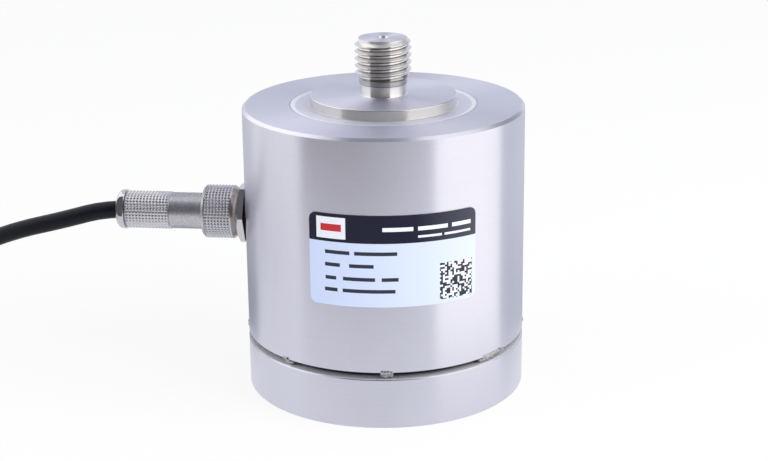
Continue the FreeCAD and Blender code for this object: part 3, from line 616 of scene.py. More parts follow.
# Plastics, rubber and film: darker tone, lighter tone, roughness range, grains per metre, grain depth
PLASTICS = {
    "cable_jacket": ((0.002, 0.003, 0.006), (0.004, 0.006, 0.011), (0.36, 0.48), 2600.0, 0.012 * MM),
    "seal_rubber": ((0.045, 0.022, 0.018), (0.085, 0.042, 0.034), (0.50, 0.66), 3000.0, 0.02 * MM),
    "insert_plastic": ((0.018, 0.018, 0.020), (0.034, 0.033, 0.036), (0.42, 0.56), 3600.0, 0.01 * MM),
    "tie_plastic": ((0.014, 0.014, 0.016), (0.028, 0.028, 0.031), (0.38, 0.50), 2200.0, 0.015 * MM),
    "shrink_tube": ((0.011, 0.011, 0.012), (0.022, 0.022, 0.024), (0.40, 0.58), 1600.0, 0.025 * MM),
    "pad_film": ((0.430, 0.230, 0.060), (0.560, 0.320, 0.090), (0.28, 0.40), 2400.0, 0.006 * MM),
    "board_laminate": ((0.020, 0.120, 0.055), (0.035, 0.175, 0.080), (0.35, 0.48), 1900.0, 0.012 * MM),
}
PLASTIC_SHINE = 0.18


def make_plastic(name):
    """A moulded or drawn plastic, rubber or film: two close tones, and a fine grain."""
    dark, light, roughness, grains, depth = PLASTICS[name]
    material, place = new_material(name, {"Specular IOR Level": PLASTIC_SHINE})
    grain, clouds = grain_of(place, grains)
    colour = blend_colours(clouds, dark, light)
    return finished(material, colour, roughened(grain, roughness), grain, depth)


# Lead wires: insulation tones, and how far along the lead's end the copper is bare
INSULATION = {
    "wire_red": ((0.420, 0.018, 0.014), (0.560, 0.032, 0.024)),
    "wire_black": ((0.012, 0.012, 0.013), (0.026, 0.026, 0.028)),
    "wire_green": ((0.016, 0.200, 0.052), (0.028, 0.280, 0.075)),
    "wire_white": ((0.620, 0.615, 0.590), (0.740, 0.735, 0.710)),
}
COPPER = (0.720, 0.360, 0.190)
LEAD_DIRECTION = (0.866, 0.5, 0.0)
BARE_FROM = -0.1653
LEADS_BEYOND = -0.12
INSULATION_GRAINS = 2400.0
INSULATION_ROUGH = (0.34, 0.48)
INSULATION_DEPTH = 0.01 * MM


def make_insulation(name):
    """A wire's drawn insulation, stripped to copper at the ends of the leads."""
    dark, light = INSULATION[name]
    material, place = new_material(name, {})
    grain, clouds = grain_of(place, INSULATION_GRAINS)
    along = follow("VectorMath", {0: place, 1: LEAD_DIRECTION}, operation="DOT_PRODUCT")["Value"]
    on_leads = reckon("LESS_THAN", split(place)[0], LEADS_BEYOND)
    bare = product(reckon("GREATER_THAN", along, BARE_FROM), on_leads)
    colour = blend_colours(bare, blend_colours(clouds, dark, light), COPPER)
    rough = roughened(grain, INSULATION_ROUGH)
    return finished(material, colour, rough, grain, INSULATION_DEPTH, Metallic=bare)


# Strain gauges: film, foil, the grid's field in millimetres, and the pitch of its lines
GAUGE_FILM = (0.470, 0.260, 0.070)
GAUGE_FOIL = (0.560, 0.470, 0.400)
GRID_FIELD = {(53.4, 60.6): [(-2.8, 2.8)]}
GRID_PITCH = 0.0004
GAUGE_ROUGH = (0.25, 0.38)
FOIL_DEPTH = 0.005 * MM
INSIDE_GRAINS = 1700.0
HALF_SIDE = math.pi / 4


def make_gauge_film():
    """An amber backing with a folded grid of foil, on each of the column's four sides."""
    material, place = new_material("gauge_film", {})
    parts = split(place)
    turn = reckon("ARCTAN2", parts[1], parts[0])
    wrapped = follow("Math", {0: turn, 1: HALF_SIDE, 2: -HALF_SIDE}, operation="WRAP")[0]
    across = product(wrapped, COLUMN_RADIUS)
    stripe = reckon("PINGPONG", across, GRID_PITCH / 2)
    stripe = reckon("GREATER_THAN", stripe, GRID_PITCH / 4)
    foil = product(stripe, print_mask(across, parts[2], GRID_FIELD))
    grain, _ = grain_of(place, INSIDE_GRAINS)
    colour = blend_colours(foil, GAUGE_FILM, GAUGE_FOIL)
    return finished(material, colour, roughened(grain, GAUGE_ROUGH), foil, FOIL_DEPTH, Metallic=foil)


# Trim spools: body, wound wire, and the heights between which the wire lies
SPOOL_BODY = (0.060, 0.036, 0.022)
SPOOL_WIRE = (0.330, 0.130, 0.040)
SPOOL_ROUGH = (0.30, 0.45)
WINDING = (0.0293, 0.0319)
WINDING_PITCH = 0.00022
WINDING_DEPTH = 0.08 * MM


def make_spool():
    """A moulded spool with turns of enamelled wire between its flanges."""
    material, place = new_material("spool_body", {})
    height = split(place)[2]
    wound = band_mask(height, *WINDING)
    half = WINDING_PITCH / 2
    strand = rise(reckon("PINGPONG", height, half), 0.0, half)
    grain, _ = grain_of(place, INSIDE_GRAINS)
    colour = blend_colours(wound, SPOOL_BODY, SPOOL_WIRE)
    rough = roughened(grain, SPOOL_ROUGH)
    return finished(material, colour, rough, product(wound, strand), WINDING_DEPTH)


# Rating label: its middle, tones with painted light and a painted sheen growing to the right, then
# fields in millimetres across and up from the base's underside
LABEL_TURN = math.radians(10.4)
LABEL_RADIUS = BODY_RADIUS + 0.25 * MM
LABEL_SHINE = 0.22
# The film's tone on the left, its painted lit tone on the right, and where the painted light grows
LABEL_FILM_LEFT = (0.640, 0.730, 0.960)
LABEL_FILM_LIT_RIGHT = (0.700, 0.760, 0.900)
LABEL_FILM_LIGHT_FADE = (-0.03, 0.03)
# The dark band's tone, its painted sheen on the right, and where the sheen grows
LABEL_BAND = (0.009, 0.0105, 0.030)
LABEL_BAND_SHEEN = (0.060, 0.063, 0.086)
LABEL_BAND_SHEEN_FADE = (0.007, 0.029)
LABEL_INK = (0.030, 0.034, 0.055)
LABEL_RED = (0.560, 0.030, 0.035)
LABEL_WHITE = (0.870, 0.885, 0.930)
BAND_FIELD = {(67.0, 78.0): [(-31.0, 31.0)]}
BADGE_FIELD = {(68.1, 75.6): [(-26.95, -16.5)]}
BADGE_BAR = {(70.7, 73.2): [(-25.4, -18.0)]}
BAND_BARS = {
    (71.2, 72.6): [(-4.0, 6.4), (8.0, 18.6), (20.2, 27.65)],
    (68.7, 69.5): [(8.0, 16.4), (17.4, 27.5)],
}
TEXT_BARS = {
    (62.75, 64.05): [(-23.9, -15.2), (-13.6, 0.9)],
    (58.3, 59.6): [(-24.0, -18.6), (-15.4, -7.05)],
    (53.65, 54.95): [(-23.9, -20.0), (-17.6, -6.6), (-4.4, 1.3)],
    (49.45, 50.75): [(-24.2, -19.6), (-17.8, 0.2)],
}
CELL_FIELD = {(45.9, 58.9): [(15.7, 28.3)]}
CELL_SIDE = 0.0007
CELL_SHARE = 0.52
FILM_GRAINS = 1400.0
FILM_ROUGH = (0.38, 0.50)
FILM_DEPTH = 0.02 * MM


def make_label_film():
    """Printed film with plain fields: a dark band with a badge, rows of bars, and a block of cells, with
    painted light on the film and a painted sheen on the band that grow to the right.
    """
    material, place = new_material("label_film", {"Specular IOR Level": LABEL_SHINE})
    parts = split(place)
    front = product(parts[1], -1.0)
    turn = reckon("SUBTRACT", reckon("ARCTAN2", parts[0], front), LABEL_TURN)
    across = product(turn, LABEL_RADIUS)
    up = parts[2]
    column, row = [reckon("FLOOR", reckon("DIVIDE", part, CELL_SIDE)) for part in (across, up)]
    cell = follow("CombineXYZ", {0: column, 1: row})[0]
    drawn = follow("TexWhiteNoise", {"Vector": cell}, noise_dimensions="2D")["Value"]
    filled = reckon("LESS_THAN", drawn, CELL_SHARE)
    # Painted sheen on the band's right part
    band = blend_colours(rise(across, *LABEL_BAND_SHEEN_FADE), LABEL_BAND, LABEL_BAND_SHEEN)
    # Painted light that makes the film lighter towards the right
    colour = blend_colours(rise(across, *LABEL_FILM_LIGHT_FADE), LABEL_FILM_LEFT, LABEL_FILM_LIT_RIGHT)
    layers = [
        (TEXT_BARS, 1.0, LABEL_INK),
        (CELL_FIELD, 1.0, LABEL_WHITE),
        (CELL_FIELD, filled, LABEL_INK),
        (BAND_FIELD, 1.0, band),
        (BAND_BARS, 1.0, LABEL_WHITE),
        (BADGE_FIELD, 1.0, LABEL_WHITE),
        (BADGE_BAR, 1.0, LABEL_RED),
    ]
    for rows, share, ink in layers:
        mask = product(print_mask(across, up, rows), share)
        colour = blend_colours(mask, colour, ink)
    grain, clouds = grain_of(place, FILM_GRAINS)
    return finished(material, colour, roughened(grain, FILM_ROUGH), clouds, FILM_DEPTH)


# Cable
def coil_slot(number):
    """Radius and height of a turn: layers from the top down, wound in and out by turns."""
    layer, step = divmod(number, COIL_COLUMNS)
    column = COIL_COLUMNS - 1 - step if layer % 2 == 0 else step
    radius = COIL_TURN_RADIUS + (column - (COIL_COLUMNS - 1) / 2) * COIL_PITCH
    return radius, COIL_LOW + (COIL_LAYERS - 1 - layer) * COIL_PITCH


def coil_point(angle):
    """The cable's middle after that many degrees round the coil's own axis from +X."""
    passed = math.floor((angle - COIL_SHIFT_START) / FULL_TURN)
    share = min((angle - COIL_SHIFT_START - passed * FULL_TURN) / COIL_SHIFT_SPAN, 1.0)
    ease = share * share * (3.0 - 2.0 * share)
    here = coil_slot(min(max(passed, 0), COIL_CHANGES))
    after = coil_slot(min(max(passed + 1, 0), COIL_CHANGES))
    radius = here[0] + (after[0] - here[0]) * ease
    height = here[1] + (after[1] - here[1]) * ease
    if here[1] != after[1]:
        outwards = 1.0 if here[0] > COIL_TURN_RADIUS else -1.0
        radius += outwards * COIL_SWING * 4.0 * ease * (1.0 - ease)
    turn = math.radians(angle)
    return COIL_CENTRE + Vector((radius * math.cos(turn), radius * math.sin(turn), height))


def cable_points():
    """The route, the coil's turns, and the straight end that goes into the lead sleeve."""
    last_angle = COIL_EXIT + FULL_TURN * COIL_CHANGES
    steps = round((last_angle - COIL_ENTRY) / COIL_STEP)
    angles = [COIL_ENTRY + (last_angle - COIL_ENTRY) * step / steps for step in range(steps + 1)]
    turns = [coil_point(angle) for angle in angles]
    turn = math.radians(COIL_EXIT)
    ahead = Vector((-math.sin(turn), math.cos(turn), 0.0))
    return [Vector(place) for place in CABLE_ROUTE] + turns + [
        turns[-1] + ahead * (COIL_STUB / 2), turns[-1] + ahead * COIL_STUB,
    ]


def make_cable(material):
    curve = bpy.data.curves.new("signal_cable", "CURVE")
    curve.dimensions = "3D"
    curve.bevel_depth = CABLE_RADIUS
    curve.bevel_resolution = CABLE_ROUNDNESS
    curve.resolution_u = CABLE_SMOOTHNESS
    curve.use_fill_caps = True
    points = cable_points()
    spline = curve.splines.new("NURBS")
    spline.points.add(len(points) - 1)
    for point, place in zip(spline.points, points):
        point.co = (*place, 1.0)
    spline.order_u = CABLE_ORDER
    spline.use_endpoint_u = True
    cable = add_object("signal_cable", curve)
    curve.materials.append(material)
    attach(cable, "root")
    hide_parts("cable_run", "cable_coil")


# Turned meshes
def add_rows(shape, rows, climb=0):
    """Joins rows of (radius, height) round the Z axis; climb lets a row's end join a higher row."""
    columns = len(rows[0])
    turns = [math.tau * number / columns for number in range(columns)]
    made = []
    for row in rows:
        if max(radius for radius, _ in row) == 0.0:
            made.append([shape.verts.new((0.0, 0.0, row[0][1]))] * columns)
            continue
        made.append([
            shape.verts.new((radius * math.cos(turn), radius * math.sin(turn), height))
            for (radius, height), turn in zip(row, turns)
        ])
    for number in range(len(made) - 1):
        for column in range(columns):
            low, high, after = number, number + 1, column + 1
            if after == columns:
                after, low, high = 0, low + climb, high + climb
            if high >= len(made):
                continue
            corners = [made[number][column], made[low][after]]
            corners += [made[high][after], made[number + 1][column]]
            corners = list(dict.fromkeys(corners))
            if len(corners) > 2:
                shape.faces.new(corners)


def take_mesh(name, shape, *materials):
    """The mesh of a shape that is then let go, with its materials."""
    mesh = bpy.data.meshes.new(name)
    shape.to_mesh(mesh)
    shape.free()
    for material in materials:
        mesh.materials.append(material)
    return mesh


def finish_mesh(name, shape, material, turned_onto=None):
    """Welds a mesh's seams, sets its shading and puts it in the scene."""
    bmesh.ops.remove_doubles(shape, verts=shape.verts, dist=WELD_DISTANCE)
    bmesh.ops.dissolve_degenerate(shape, edges=shape.edges, dist=WELD_DISTANCE)
    bmesh.ops.recalc_face_normals(shape, faces=shape.faces)
    mesh = take_mesh(name, shape, material)
    if turned_onto is not None:
        mesh.transform(turned_onto)
    mesh.shade_smooth()
    mesh.set_sharp_from_angle(angle=SHARP_ANGLE)
    return add_object(name, mesh)


def stand_for(piece, slot, *nodes):
    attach(piece, "root")
    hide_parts(*nodes)


def round_rows(places, columns=COLUMN_STEPS):
    """Each place as a row that goes all the way round."""
    return [[place] * columns for place in places]


def arc_rows(centre_radius, centre_height, size, start, end):
    """Points (radius, height) on a quarter circle, between two angles in degrees."""
    places = []
    for step in range(FILLET_STEPS + 1):
        turn = math.radians(start + (end - start) * step / FILLET_STEPS)
        places.append((centre_radius + size * math.cos(turn), centre_height + size * math.sin(turn)))
    return places


def thread_radius(turn, height):
    """Radius of the threaded stud at a turn and a height, with its run-out and chamfer."""
    share = (height - THREAD_CREST_HEIGHT) / THREAD_PITCH - (turn - THREAD_CREST_ANGLE) / math.tau
    share -= math.floor(share)
    form = [*THREAD_FORM, (1.0, 0.0)]
    for (start, depth), (end, next_depth) in zip(form, form[1:]):
        if start <= share <= end:
            depth += (next_depth - depth) * (share - start) / (end - start)
            break
    run_out_slope = (STUD_RADIUS - ROOT_RADIUS) / (RUN_OUT_END - RUN_OUT_START)
    run_out = ROOT_RADIUS + (height - RUN_OUT_START) * run_out_slope
    chamfer = STUD_RADIUS - STUD_CHAMFER + (STUD_TOP - height)
    return min(STUD_RADIUS - depth, max(run_out, ROOT_RADIUS), chamfer)


def thread_rows():
    """Rows that follow the thread's form up the stud, cut off level at both ends."""
    first = math.floor((RUN_OUT_START - THREAD_CREST_HEIGHT) / THREAD_PITCH) - 1
    last = math.ceil((STUD_TOP - THREAD_CREST_HEIGHT) / THREAD_PITCH) + 1
    rows = []
    for pitch in range(first, last + 1):
        for share, _ in THREAD_FORM:
            row = []
            for column in range(COLUMN_STEPS):
                turn = math.tau * column / COLUMN_STEPS
                climbed = pitch + share + (turn - THREAD_CREST_ANGLE) / math.tau
                height = THREAD_CREST_HEIGHT + THREAD_PITCH * climbed
                height = min(max(height, RUN_OUT_START), STUD_TOP)
                row.append((thread_radius(turn, height), height))
            rows.append(row)
    return rows


def make_load_column(material):
    """Base, spigot, strain column, boss and threaded stud, turned in one piece."""
    hollow = COLUMN_RADIUS + COLUMN_FILLET
    foot_middle = FOOT_FILLET * FILLET_MIDDLE
    neck_middle = NECK_FILLET * FILLET_MIDDLE
    below = [
        (0.0, HOLE_TIP),
        (HOLE_RADIUS, HOLE_DEPTH),
        (HOLE_RADIUS, HOLE_CHAMFER),
        (HOLE_RADIUS + HOLE_CHAMFER, 0.0),
        (BODY_RADIUS - FOOT_CHAMFER, 0.0),
        (BODY_RADIUS, FOOT_CHAMFER),
        (BODY_RADIUS, BASE_TOP - BASE_CHAMFER),
        (BODY_RADIUS - BASE_CHAMFER, BASE_TOP),
        (SPIGOT_RADIUS, BASE_TOP),
        (SPIGOT_RADIUS, SPIGOT_TOP),
        *arc_rows(hollow, SPIGOT_TOP + COLUMN_FILLET, COLUMN_FILLET, 270.0, 180.0),
        *arc_rows(hollow, HEAD_BOTTOM - COLUMN_FILLET, COLUMN_FILLET, 180.0, 90.0),
        (HEAD_RADIUS, HEAD_BOTTOM),
        (HEAD_RADIUS, FOOT_FILLET_LOW),
        (HEAD_RADIUS + FOOT_FILLET, FOOT_FILLET_LOW),
        (HEAD_RADIUS + foot_middle, FOOT_FILLET_LOW + foot_middle),
        (HEAD_RADIUS, FOOT_FILLET_LOW + FOOT_FILLET),
        *arc_rows(HEAD_RADIUS - BOSS_EDGE, BOSS_TOP - BOSS_EDGE, BOSS_EDGE, 0.0, 90.0),
        (UNDERCUT_RADIUS + NECK_FILLET, BOSS_TOP),
        (UNDERCUT_RADIUS + neck_middle, BOSS_TOP + neck_middle),
        (UNDERCUT_RADIUS, BOSS_TOP + NECK_FILLET),
        (UNDERCUT_RADIUS, NECK_TOP),
        (ROOT_RADIUS, ROOT_START),
        (ROOT_RADIUS, RUN_OUT_START - SHADING_RING),
        (ROOT_RADIUS, RUN_OUT_START),
    ]
    above = [
        (CENTRE_RADIUS, STUD_TOP),
        (PILOT_RADIUS, PILOT_TOP),
        (PILOT_RADIUS, PILOT_BOTTOM),
        (0.0, PILOT_BOTTOM),
    ]
    end_row = []
    for column in range(COLUMN_STEPS):
        end_row.append((thread_radius(math.tau * column / COLUMN_STEPS, STUD_TOP), STUD_TOP))
    shape = bmesh.new()
    add_rows(shape, round_rows(below))
    add_rows(shape, thread_rows(), climb=len(THREAD_FORM))
    add_rows(shape, [end_row] + round_rows(above))
    piece = finish_mesh("load_column_turned", shape, material)
    stand_for(piece, "body_steel", "load_column")


def knurl_rows(radius, depth, start, pads, pitch, around):
    """Rows of a cross-knurled band of square pads."""
    across = [groove for _ in range(around) for _, groove in KNURL_FORM]
    stations = [
        (start + (pad + share) * pitch, groove) for pad in range(pads) for share, groove in KNURL_FORM
    ]
    stations.append((start + pads * pitch, 1.0))
    rows = []
    for station, groove in stations:
        rows.append([(radius - depth * max(groove, other), station) for other in across])
    return rows


def make_knurled(name, node, material, front, back, knurl):
    """A piece turned round Z, knurled between its plain front and back, laid on the connector's axis."""
    columns = knurl["around"] * len(KNURL_FORM)
    shape = bmesh.new()
    add_rows(shape, round_rows(front, columns) + knurl_rows(**knurl) + round_rows(back, columns))
    lay = Matrix.Rotation(math.radians(-90.0), 4, "Y")
    piece = finish_mesh(name, shape, material, Matrix.Translation((0.0, 0.0, CONNECTOR_HEIGHT)) @ lay)
    stand_for(piece, "nickel_plate", node)


# Coupling ring: its knurl, ends and bore
RING_KNURL_DEPTH = 0.00038
RING_PADS = 8
RING_AROUND = 50
RING_KNURL_START = 0.0552
RING_PAD_PITCH = 0.001165
RING_FRONT_STEP = 0.0013
RING_FRONT_TAPER = 0.0017
RING_EDGE_CHAMFER = 0.0009
RING_BORE_RADIUS = 0.0081
RING_LEAD_IN = 0.00015
RING_LIP_RADIUS = 0.0067
RING_LIP_START = 0.06315


def make_coupling_ring(material):
    start, end = -ring_high.x, -ring_low.x
    radius = (ring_high.y - ring_low.y) / 2
    groove = RING_KNURL_DEPTH / 2
    knurl_end = RING_KNURL_START + RING_PADS * RING_PAD_PITCH
    front = [
        (RING_BORE_RADIUS + RING_LEAD_IN, start),
        (radius - RING_FRONT_STEP, start),
        (radius, start + RING_FRONT_TAPER),
        (radius, RING_KNURL_START - groove),
    ]
    back = [
        (radius, knurl_end + groove),
        (radius, end - RING_EDGE_CHAMFER),
        (radius - RING_EDGE_CHAMFER, end),
        (RING_LIP_RADIUS, end),
        (RING_LIP_RADIUS, RING_LIP_START),
        (RING_BORE_RADIUS, RING_LIP_START),
        (RING_BORE_RADIUS, start + RING_LEAD_IN),
        (RING_BORE_RADIUS + RING_LEAD_IN, start),
    ]
    make_knurled("coupling_ring_knurled", "coupling_ring", material, front, back, {
        "radius": radius, "depth": RING_KNURL_DEPTH, "start": RING_KNURL_START,
        "pads": RING_PADS, "pitch": RING_PAD_PITCH, "around": RING_AROUND,
    })


# Back shell: its knurl, bore and ends
SHELL_KNURL_DEPTH = 0.00029
SHELL_PADS = 13
SHELL_AROUND = 36
SHELL_BORE_RADIUS = 0.0059
SHELL_CHAMFER = 0.00035
SHELL_MARGIN = 0.0006


def make_back_shell(material):
    start, end = -shell_high.x, -shell_low.x
    radius = (shell_high.y - shell_low.y) / 2
    pitch = (end - start - 2 * SHELL_MARGIN) / SHELL_PADS
    front = [
        (SHELL_BORE_RADIUS, start),
        (radius - SHELL_CHAMFER, start),
        (radius, start + SHELL_CHAMFER),
    ]
    back = [
        (radius, end - SHELL_CHAMFER),
        (radius - SHELL_CHAMFER, end),
        (SHELL_BORE_RADIUS, end),
        (SHELL_BORE_RADIUS, start),
    ]
    make_knurled("back_shell_knurled", "back_shell", material, front, back, {
        "radius": radius, "depth": SHELL_KNURL_DEPTH, "start": start + SHELL_MARGIN,
        "pads": SHELL_PADS, "pitch": pitch, "around": SHELL_AROUND,
    })


# Tack beads: side angle and length, then the two lumps that each ripple is made of
BEADS = [
    (-37.6, 0.0037),
    (6.9, 0.0051),
    (55.8, 0.0122),
    (97.0, 0.0044),
    (142.0, 0.0040),
    (187.0, 0.0048),
    (232.0, 0.0039),
    (277.0, 0.0046),
]
BEAD_SEED = 7
BEAD_RIPPLE = 0.0011
LEAST_RIPPLES = 2
BEAD_JITTER = 0.00018
FOOT_LUMP = {"reach": 0.0477, "height": 0.0190, "half": (0.00095, 0.00125, 0.00120)}
LIP_LUMP = {"reach": 0.0493, "height": 0.0207, "half": (0.00100, 0.00115, 0.00110)}
LUMP_DETAIL = 3
BEAD_VOXEL = 0.00016
BEAD_RELAX = 3
BEAD_GRAIN = 900.0
BEAD_ROUGH = 0.00009


def side_direction(turn):
    """A level direction, by its side angle from the front towards +X."""
    return Vector((math.sin(turn), -math.cos(turn), 0.0))


def add_lump(shape, draw, along, lump):
    """One lump of weld metal, a little out of its place, seen from the rim's front edge."""
    turn = along / BODY_RADIUS
    reach = lump["reach"] + draw.uniform(-BEAD_JITTER, BEAD_JITTER)
    height = lump["height"] + draw.uniform(-BEAD_JITTER, BEAD_JITTER)
    place = side_direction(turn) * reach - side_direction(0.0) * BODY_RADIUS
    place.z = height - RIM_HEIGHT
    size = Matrix.Diagonal((*lump["half"], 1.0))
    matrix = Matrix.Translation(place) @ Matrix.Rotation(turn, 4, "Z") @ size
    bmesh.ops.create_icosphere(shape, subdivisions=LUMP_DETAIL, radius=1.0, matrix=matrix)


def melted(shape):
    """The lumps of one bead as one skin."""
    lumps = add_object("tack_lumps", take_mesh("tack_lumps", shape))
    melt = lumps.modifiers.new("melt", "REMESH")
    melt.mode = "VOXEL"
    melt.voxel_size = BEAD_VOXEL
    relax = lumps.modifiers.new("relax", "SMOOTH")
    relax.iterations = BEAD_RELAX
    skin = bpy.data.meshes.new_from_object(lumps.evaluated_get(bpy.context.evaluated_depsgraph_get()))
    bpy.data.objects.remove(lumps)
    return skin


def make_tack_beads(material):
    """The short welds across the slit, each a run of lumps melted into one."""
    draw = random.Random(BEAD_SEED)
    beads = bmesh.new()
    for side_angle, length in BEADS:
        shape = bmesh.new()
        run = length - 2 * FOOT_LUMP["half"][0]
        ripples = max(LEAST_RIPPLES, round(run / BEAD_RIPPLE) + 1)
        for number in range(ripples):
            along = (number / (ripples - 1) - 0.5) * run
            add_lump(shape, draw, along, FOOT_LUMP)
            add_lump(shape, draw, along + draw.uniform(-BEAD_JITTER, BEAD_JITTER), LIP_LUMP)
        skin = melted(shape)
        for vertex in skin.vertices:
            vertex.co += vertex.normal * BEAD_ROUGH * noise.noise(vertex.co * BEAD_GRAIN)
        skin.transform(
            Matrix.Rotation(math.radians(side_angle), 4, "Z")
            @ Matrix.Translation((0.0, -BODY_RADIUS, RIM_HEIGHT))
        )
        beads.from_mesh(skin)
        bpy.data.meshes.remove(skin)
    mesh = take_mesh("tack_beads", beads, material)
    mesh.shade_smooth()
    stand_for(add_object("tack_beads", mesh), "weld_steel", "tack_welds")


# Studio: the pale floor and the white surroundings
FLOOR_HALF_SIDE = 6.0
FLOOR_TONE = (0.92, 0.92, 0.93)
FLOOR_WHITE_SHARE = 0.87
WHITE = (1.0, 1.0, 1.0)
WORLD_LIGHT = (0.93, 0.95, 1.0)
WORLD_STRENGTH = 0.62


def seen_rays(tree):
    """1 for rays that the camera sends, and for those that metal and glass pass on."""
    path = add_node(tree, "LightPath").outputs
    mirrored = reckon("MAXIMUM", path["Is Glossy Ray"], path["Is Transmission Ray"])
    return reckon("MAXIMUM", path["Is Camera Ray"], mirrored)


def cleared_tree(owner):
    """The emptied node tree of a material or world."""
    owner.use_nodes = True
    owner.node_tree.nodes.clear()
    return owner.node_tree


def show_mixed(output, share, first, second):
    """Mixes two shaders and shows the result."""
    mixed = follow("MixShader", {0: share, 1: first.outputs[0], 2: second.outputs[0]})[0]
    follow(output, {"Surface": mixed})


def make_floor():
    """A pale floor that stays white to the camera and to reflections, and keeps a soft shadow."""
    material = bpy.data.materials.new("pale_floor")
    tree = cleared_tree(material)
    matt = add_node(tree, "BsdfDiffuse", {"Color": FLOOR_TONE})
    white = add_node(tree, "Emission", {"Color": WHITE, "Strength": 1.0})
    share = product(seen_rays(tree), FLOOR_WHITE_SHARE)
    show_mixed("OutputMaterial", share, matt, white)
    shape = bmesh.new()
    bmesh.ops.create_grid(shape, x_segments=1, y_segments=1, size=FLOOR_HALF_SIDE)
    floor = add_object("floor", take_mesh("floor", shape, material))


def make_world():
    world = bpy.data.worlds.new("studio")
    bpy.context.scene.world = world
    tree = cleared_tree(world)
    soft = add_node(tree, "Background", {"Color": WORLD_LIGHT, "Strength": WORLD_STRENGTH})
    white = add_node(tree, "Background", {"Color": WHITE, "Strength": 1.0})
    show_mixed("OutputWorld", seen_rays(tree), soft, white)


# Lamps: angle to the camera's right, level distance, height, side and power
LAMPS = {
    "right_lamp": (62.0, 1.1, 0.9, 0.9, 14.0),
    "left_lamp": (-70.0, 1.3, 0.8, 0.8, 5.0),
}


def studio_direction(angle):
    """A level direction, by its angle to the right of the camera's own."""
    return side_direction(math.radians(angle) + CAMERA_TURN)


def make_lamp(name):
    """A soft square lamp that lights the object, and that reflections don't see."""
    angle, distance, height, side, power = LAMPS[name]
    lamp = bpy.data.lights.new(name, "AREA")
    lamp.shape = "SQUARE"
    lamp.size = side
    lamp.energy = power
    place = studio_direction(angle) * distance + Vector((0.0, 0.0, height))
    box = add_object(name, lamp)
    box.matrix_world = Matrix.Translation(place) @ aim_from(place).to_4x4()
    box.visible_camera = False
    box.visible_glossy = False


# Cards for reflections: edges in degrees to the camera's right, distance, foot, top, and tones going up
CARDS = {
    "front_card": (-65.0, 36.0, 0.36, 0.0, 1.40, [
        (0.09, (0.26, 0.235, 0.225), (0.80, 0.80, 0.82)),
        (0.14, (0.12, 0.112, 0.110)),
        (0.30, (0.14, 0.135, 0.135)),
        (0.80, (0.18, 0.21, 0.27)),
    ]),
    "right_card": (32.0, 86.0, 0.11, 0.0, 0.80, [
        (0.0, (1.43, 1.41, 1.34), (1.41, 1.39, 1.32)),
    ]),
    "left_card": (-142.0, -65.0, 0.36, 0.0, 1.20, [
        (0.11, (1.09, 1.08, 1.05), (1.12, 1.11, 1.06)),
        (0.22, (1.58, 1.56, 1.54)),
    ]),
    "upper_right_card": (84.0, 104.0, 0.30, 0.12, 0.60, [
        (0.0, (1.30, 1.29, 1.27), (1.20, 1.19, 1.18)),
    ]),
    "side_gap_card": (104.0, 140.0, 0.30, 0.12, 0.45, [
        (0.0, (0.36, 0.37, 0.40), (0.46, 0.47, 0.51)),
    ]),
    "near_right_card": (79.0, 135.0, 0.085, 0.0, 0.10, [
        (0.02, (0.68, 0.69, 0.73), (0.60, 0.61, 0.64)),
        (0.07, (0.78, 0.79, 0.83), (0.72, 0.73, 0.76)),
    ]),
    "near_left_card": (-135.0, -98.0, 0.085, 0.0, 0.10, [
        (0.02, (0.38, 0.39, 0.42), (0.48, 0.49, 0.52)),
        (0.07, (0.66, 0.67, 0.70), (0.78, 0.79, 0.81)),
    ]),
    "coil_screen": (-114.0, -70.0, 0.19, 0.0, 0.08, [
        (0.01, (0.72, 0.72, 0.73), (0.80, 0.80, 0.80)),
        (0.05, (1.01, 1.00, 0.99), (1.07, 1.06, 1.03)),
    ]),
    "back_card": (112.0, 218.0, 0.80, 0.0, 1.20, [
        (0.30, (0.86, 0.88, 0.95)),
        (1.20, (0.76, 0.78, 0.86)),
    ]),
}
CARD_STEPS = 24
CARD_FADE_FROM = 0.45
CEILING_HEIGHT = 1.45
CEILING_HALF_SIDE = 1.0
CEILING_TONE = (0.70, 0.72, 0.77)


def emitting_material(name):
    """A material with an Emission shader: returns both."""
    material = bpy.data.materials.new(name)
    tree = cleared_tree(material)
    glow = add_node(tree, "Emission", {"Strength": 1.0})
    follow("OutputMaterial", {"Surface": glow.outputs[0]})
    return material, glow


def stand_card(name, shape, material):
    """Puts a card where only reflections see it."""
    card = add_object(name, take_mesh(name, shape, material))
    card.visible_camera = False
    card.visible_diffuse = False
    card.visible_transmission = False
    card.visible_shadow = False


def make_card(name):
    """A curved card standing round the object, toned from the floor up and towards its right edge."""
    left, right, distance, foot, top, bands = CARDS[name]
    material, glow = emitting_material(name)
    parts = split(surface_place(glow.id_data))
    middle = math.radians((left + right) / 2) + CAMERA_TURN
    cosine = math.cos(middle)
    sine = math.sin(middle)
    aside = reckon("ADD", product(parts[0], cosine), product(parts[1], sine))
    ahead = reckon("SUBTRACT", product(parts[0], sine), product(parts[1], cosine))
    half = math.radians((right - left) / 2)
    turn = reckon("ARCTAN2", aside, ahead)
    fade = rise(turn, half * (2 * CARD_FADE_FROM - 1), half)
    reached = 0.0
    colour = None
    for height, *tones in bands:
        here = blend_colours(fade, tones[0], tones[-1])
        if colour is None:
            colour = here
        else:
            colour = blend_colours(rise(parts[2], reached, height), colour, here)
        reached = height
    feed(glow, {"Color": colour})
    shape = bmesh.new()
    edges = []
    for step in range(CARD_STEPS + 1):
        side = studio_direction(left + (right - left) * step / CARD_STEPS) * distance
        edges.append([shape.verts.new((side.x, side.y, height)) for height in (foot, top)])
    for (low, high), (next_low, next_high) in zip(edges, edges[1:]):
        shape.faces.new([low, next_low, next_high, high])
    stand_card(name, shape, material)


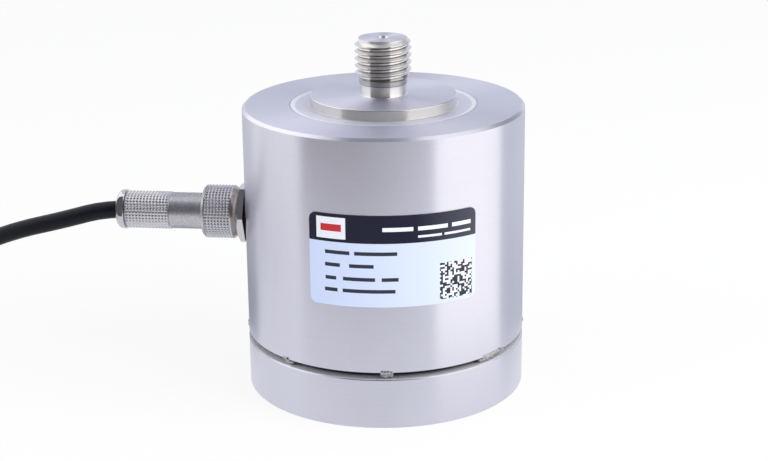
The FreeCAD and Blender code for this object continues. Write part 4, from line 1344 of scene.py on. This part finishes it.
def make_ceiling():
    """A grey ceiling for reflections, so that metal that looks up isn't white."""
    material, glow = emitting_material("grey_ceiling")
    glow.inputs["Color"].default_value = (*CEILING_TONE, 1.0)
    shape = bmesh.new()
    lift = Matrix.Translation((0.0, 0.0, CEILING_HEIGHT))
    bmesh.ops.create_grid(shape, x_segments=1, y_segments=1, size=CEILING_HALF_SIDE, matrix=lift)
    stand_card("grey_ceiling", shape, material)


# Which carried-over solids take which finish
DRESSING = {
    "turned_steel": ["outer_sleeve", "top_diaphragm"],
    "nickel_plate": ["socket_shell", "cable_nut", "clamp_washer"],
    "satin_nickel": ["plug_body"],
    "seal_rubber": ["socket_oring", "plug_gasket", "cable_grommet"],
    "insert_plastic": ["socket_insert", "plug_insert"],
    "contact_metal": ["socket_pins", "plug_contacts"],
    "tie_plastic": ["coil_tie_1", "coil_tie_2"],
    "shrink_tube": ["lead_sleeve"],
    "wire_red": ["signal_wire_red", "core_red"],
    "wire_black": ["signal_wire_black", "core_black"],
    "wire_green": ["signal_wire_green", "core_green"],
    "wire_white": ["signal_wire_white", "core_white", "plug_cores"],
    "drain_copper": ["core_drain"],
    "pad_film": ["bridge_pad"],
    "board_laminate": ["bridge_board"],
    "gauge_film": ["strain_gauge_1", "strain_gauge_2", "strain_gauge_3", "strain_gauge_4"],
    "spool_body": ["trim_resistor_1", "trim_resistor_2", "trim_resistor_3"],
    "label_film": ["rating_label"],
}


def dress_solids(finishes):
    """Gives carried-over solids their finish."""
    for finish, nodes in DRESSING.items():
        for name in nodes:
            mesh = frame["nodes"][name].data
            mesh.materials.clear()
            mesh.materials.append(finishes[finish])


make_camera()
bpy.context.scene.view_settings.view_transform = "Standard"
finishes = {name: make_metal(name) for name in METALS}
finishes.update({name: make_plastic(name) for name in PLASTICS})
finishes.update({name: make_insulation(name) for name in INSULATION})
finishes["turned_steel"] = make_turned_steel()
finishes["satin_nickel"] = make_satin_nickel()
finishes["gauge_film"] = make_gauge_film()
finishes["spool_body"] = make_spool()
finishes["label_film"] = make_label_film()
make_cable(finishes["cable_jacket"])
make_load_column(finishes["turned_steel"])
make_coupling_ring(finishes["nickel_plate"])
make_back_shell(finishes["nickel_plate"])
make_tack_beads(finishes["weld_metal"])
dress_solids(finishes)
make_world()
make_floor()
for lamp_name in LAMPS:
    make_lamp(lamp_name)
for card_name in CARDS:
    make_card(card_name)
make_ceiling()
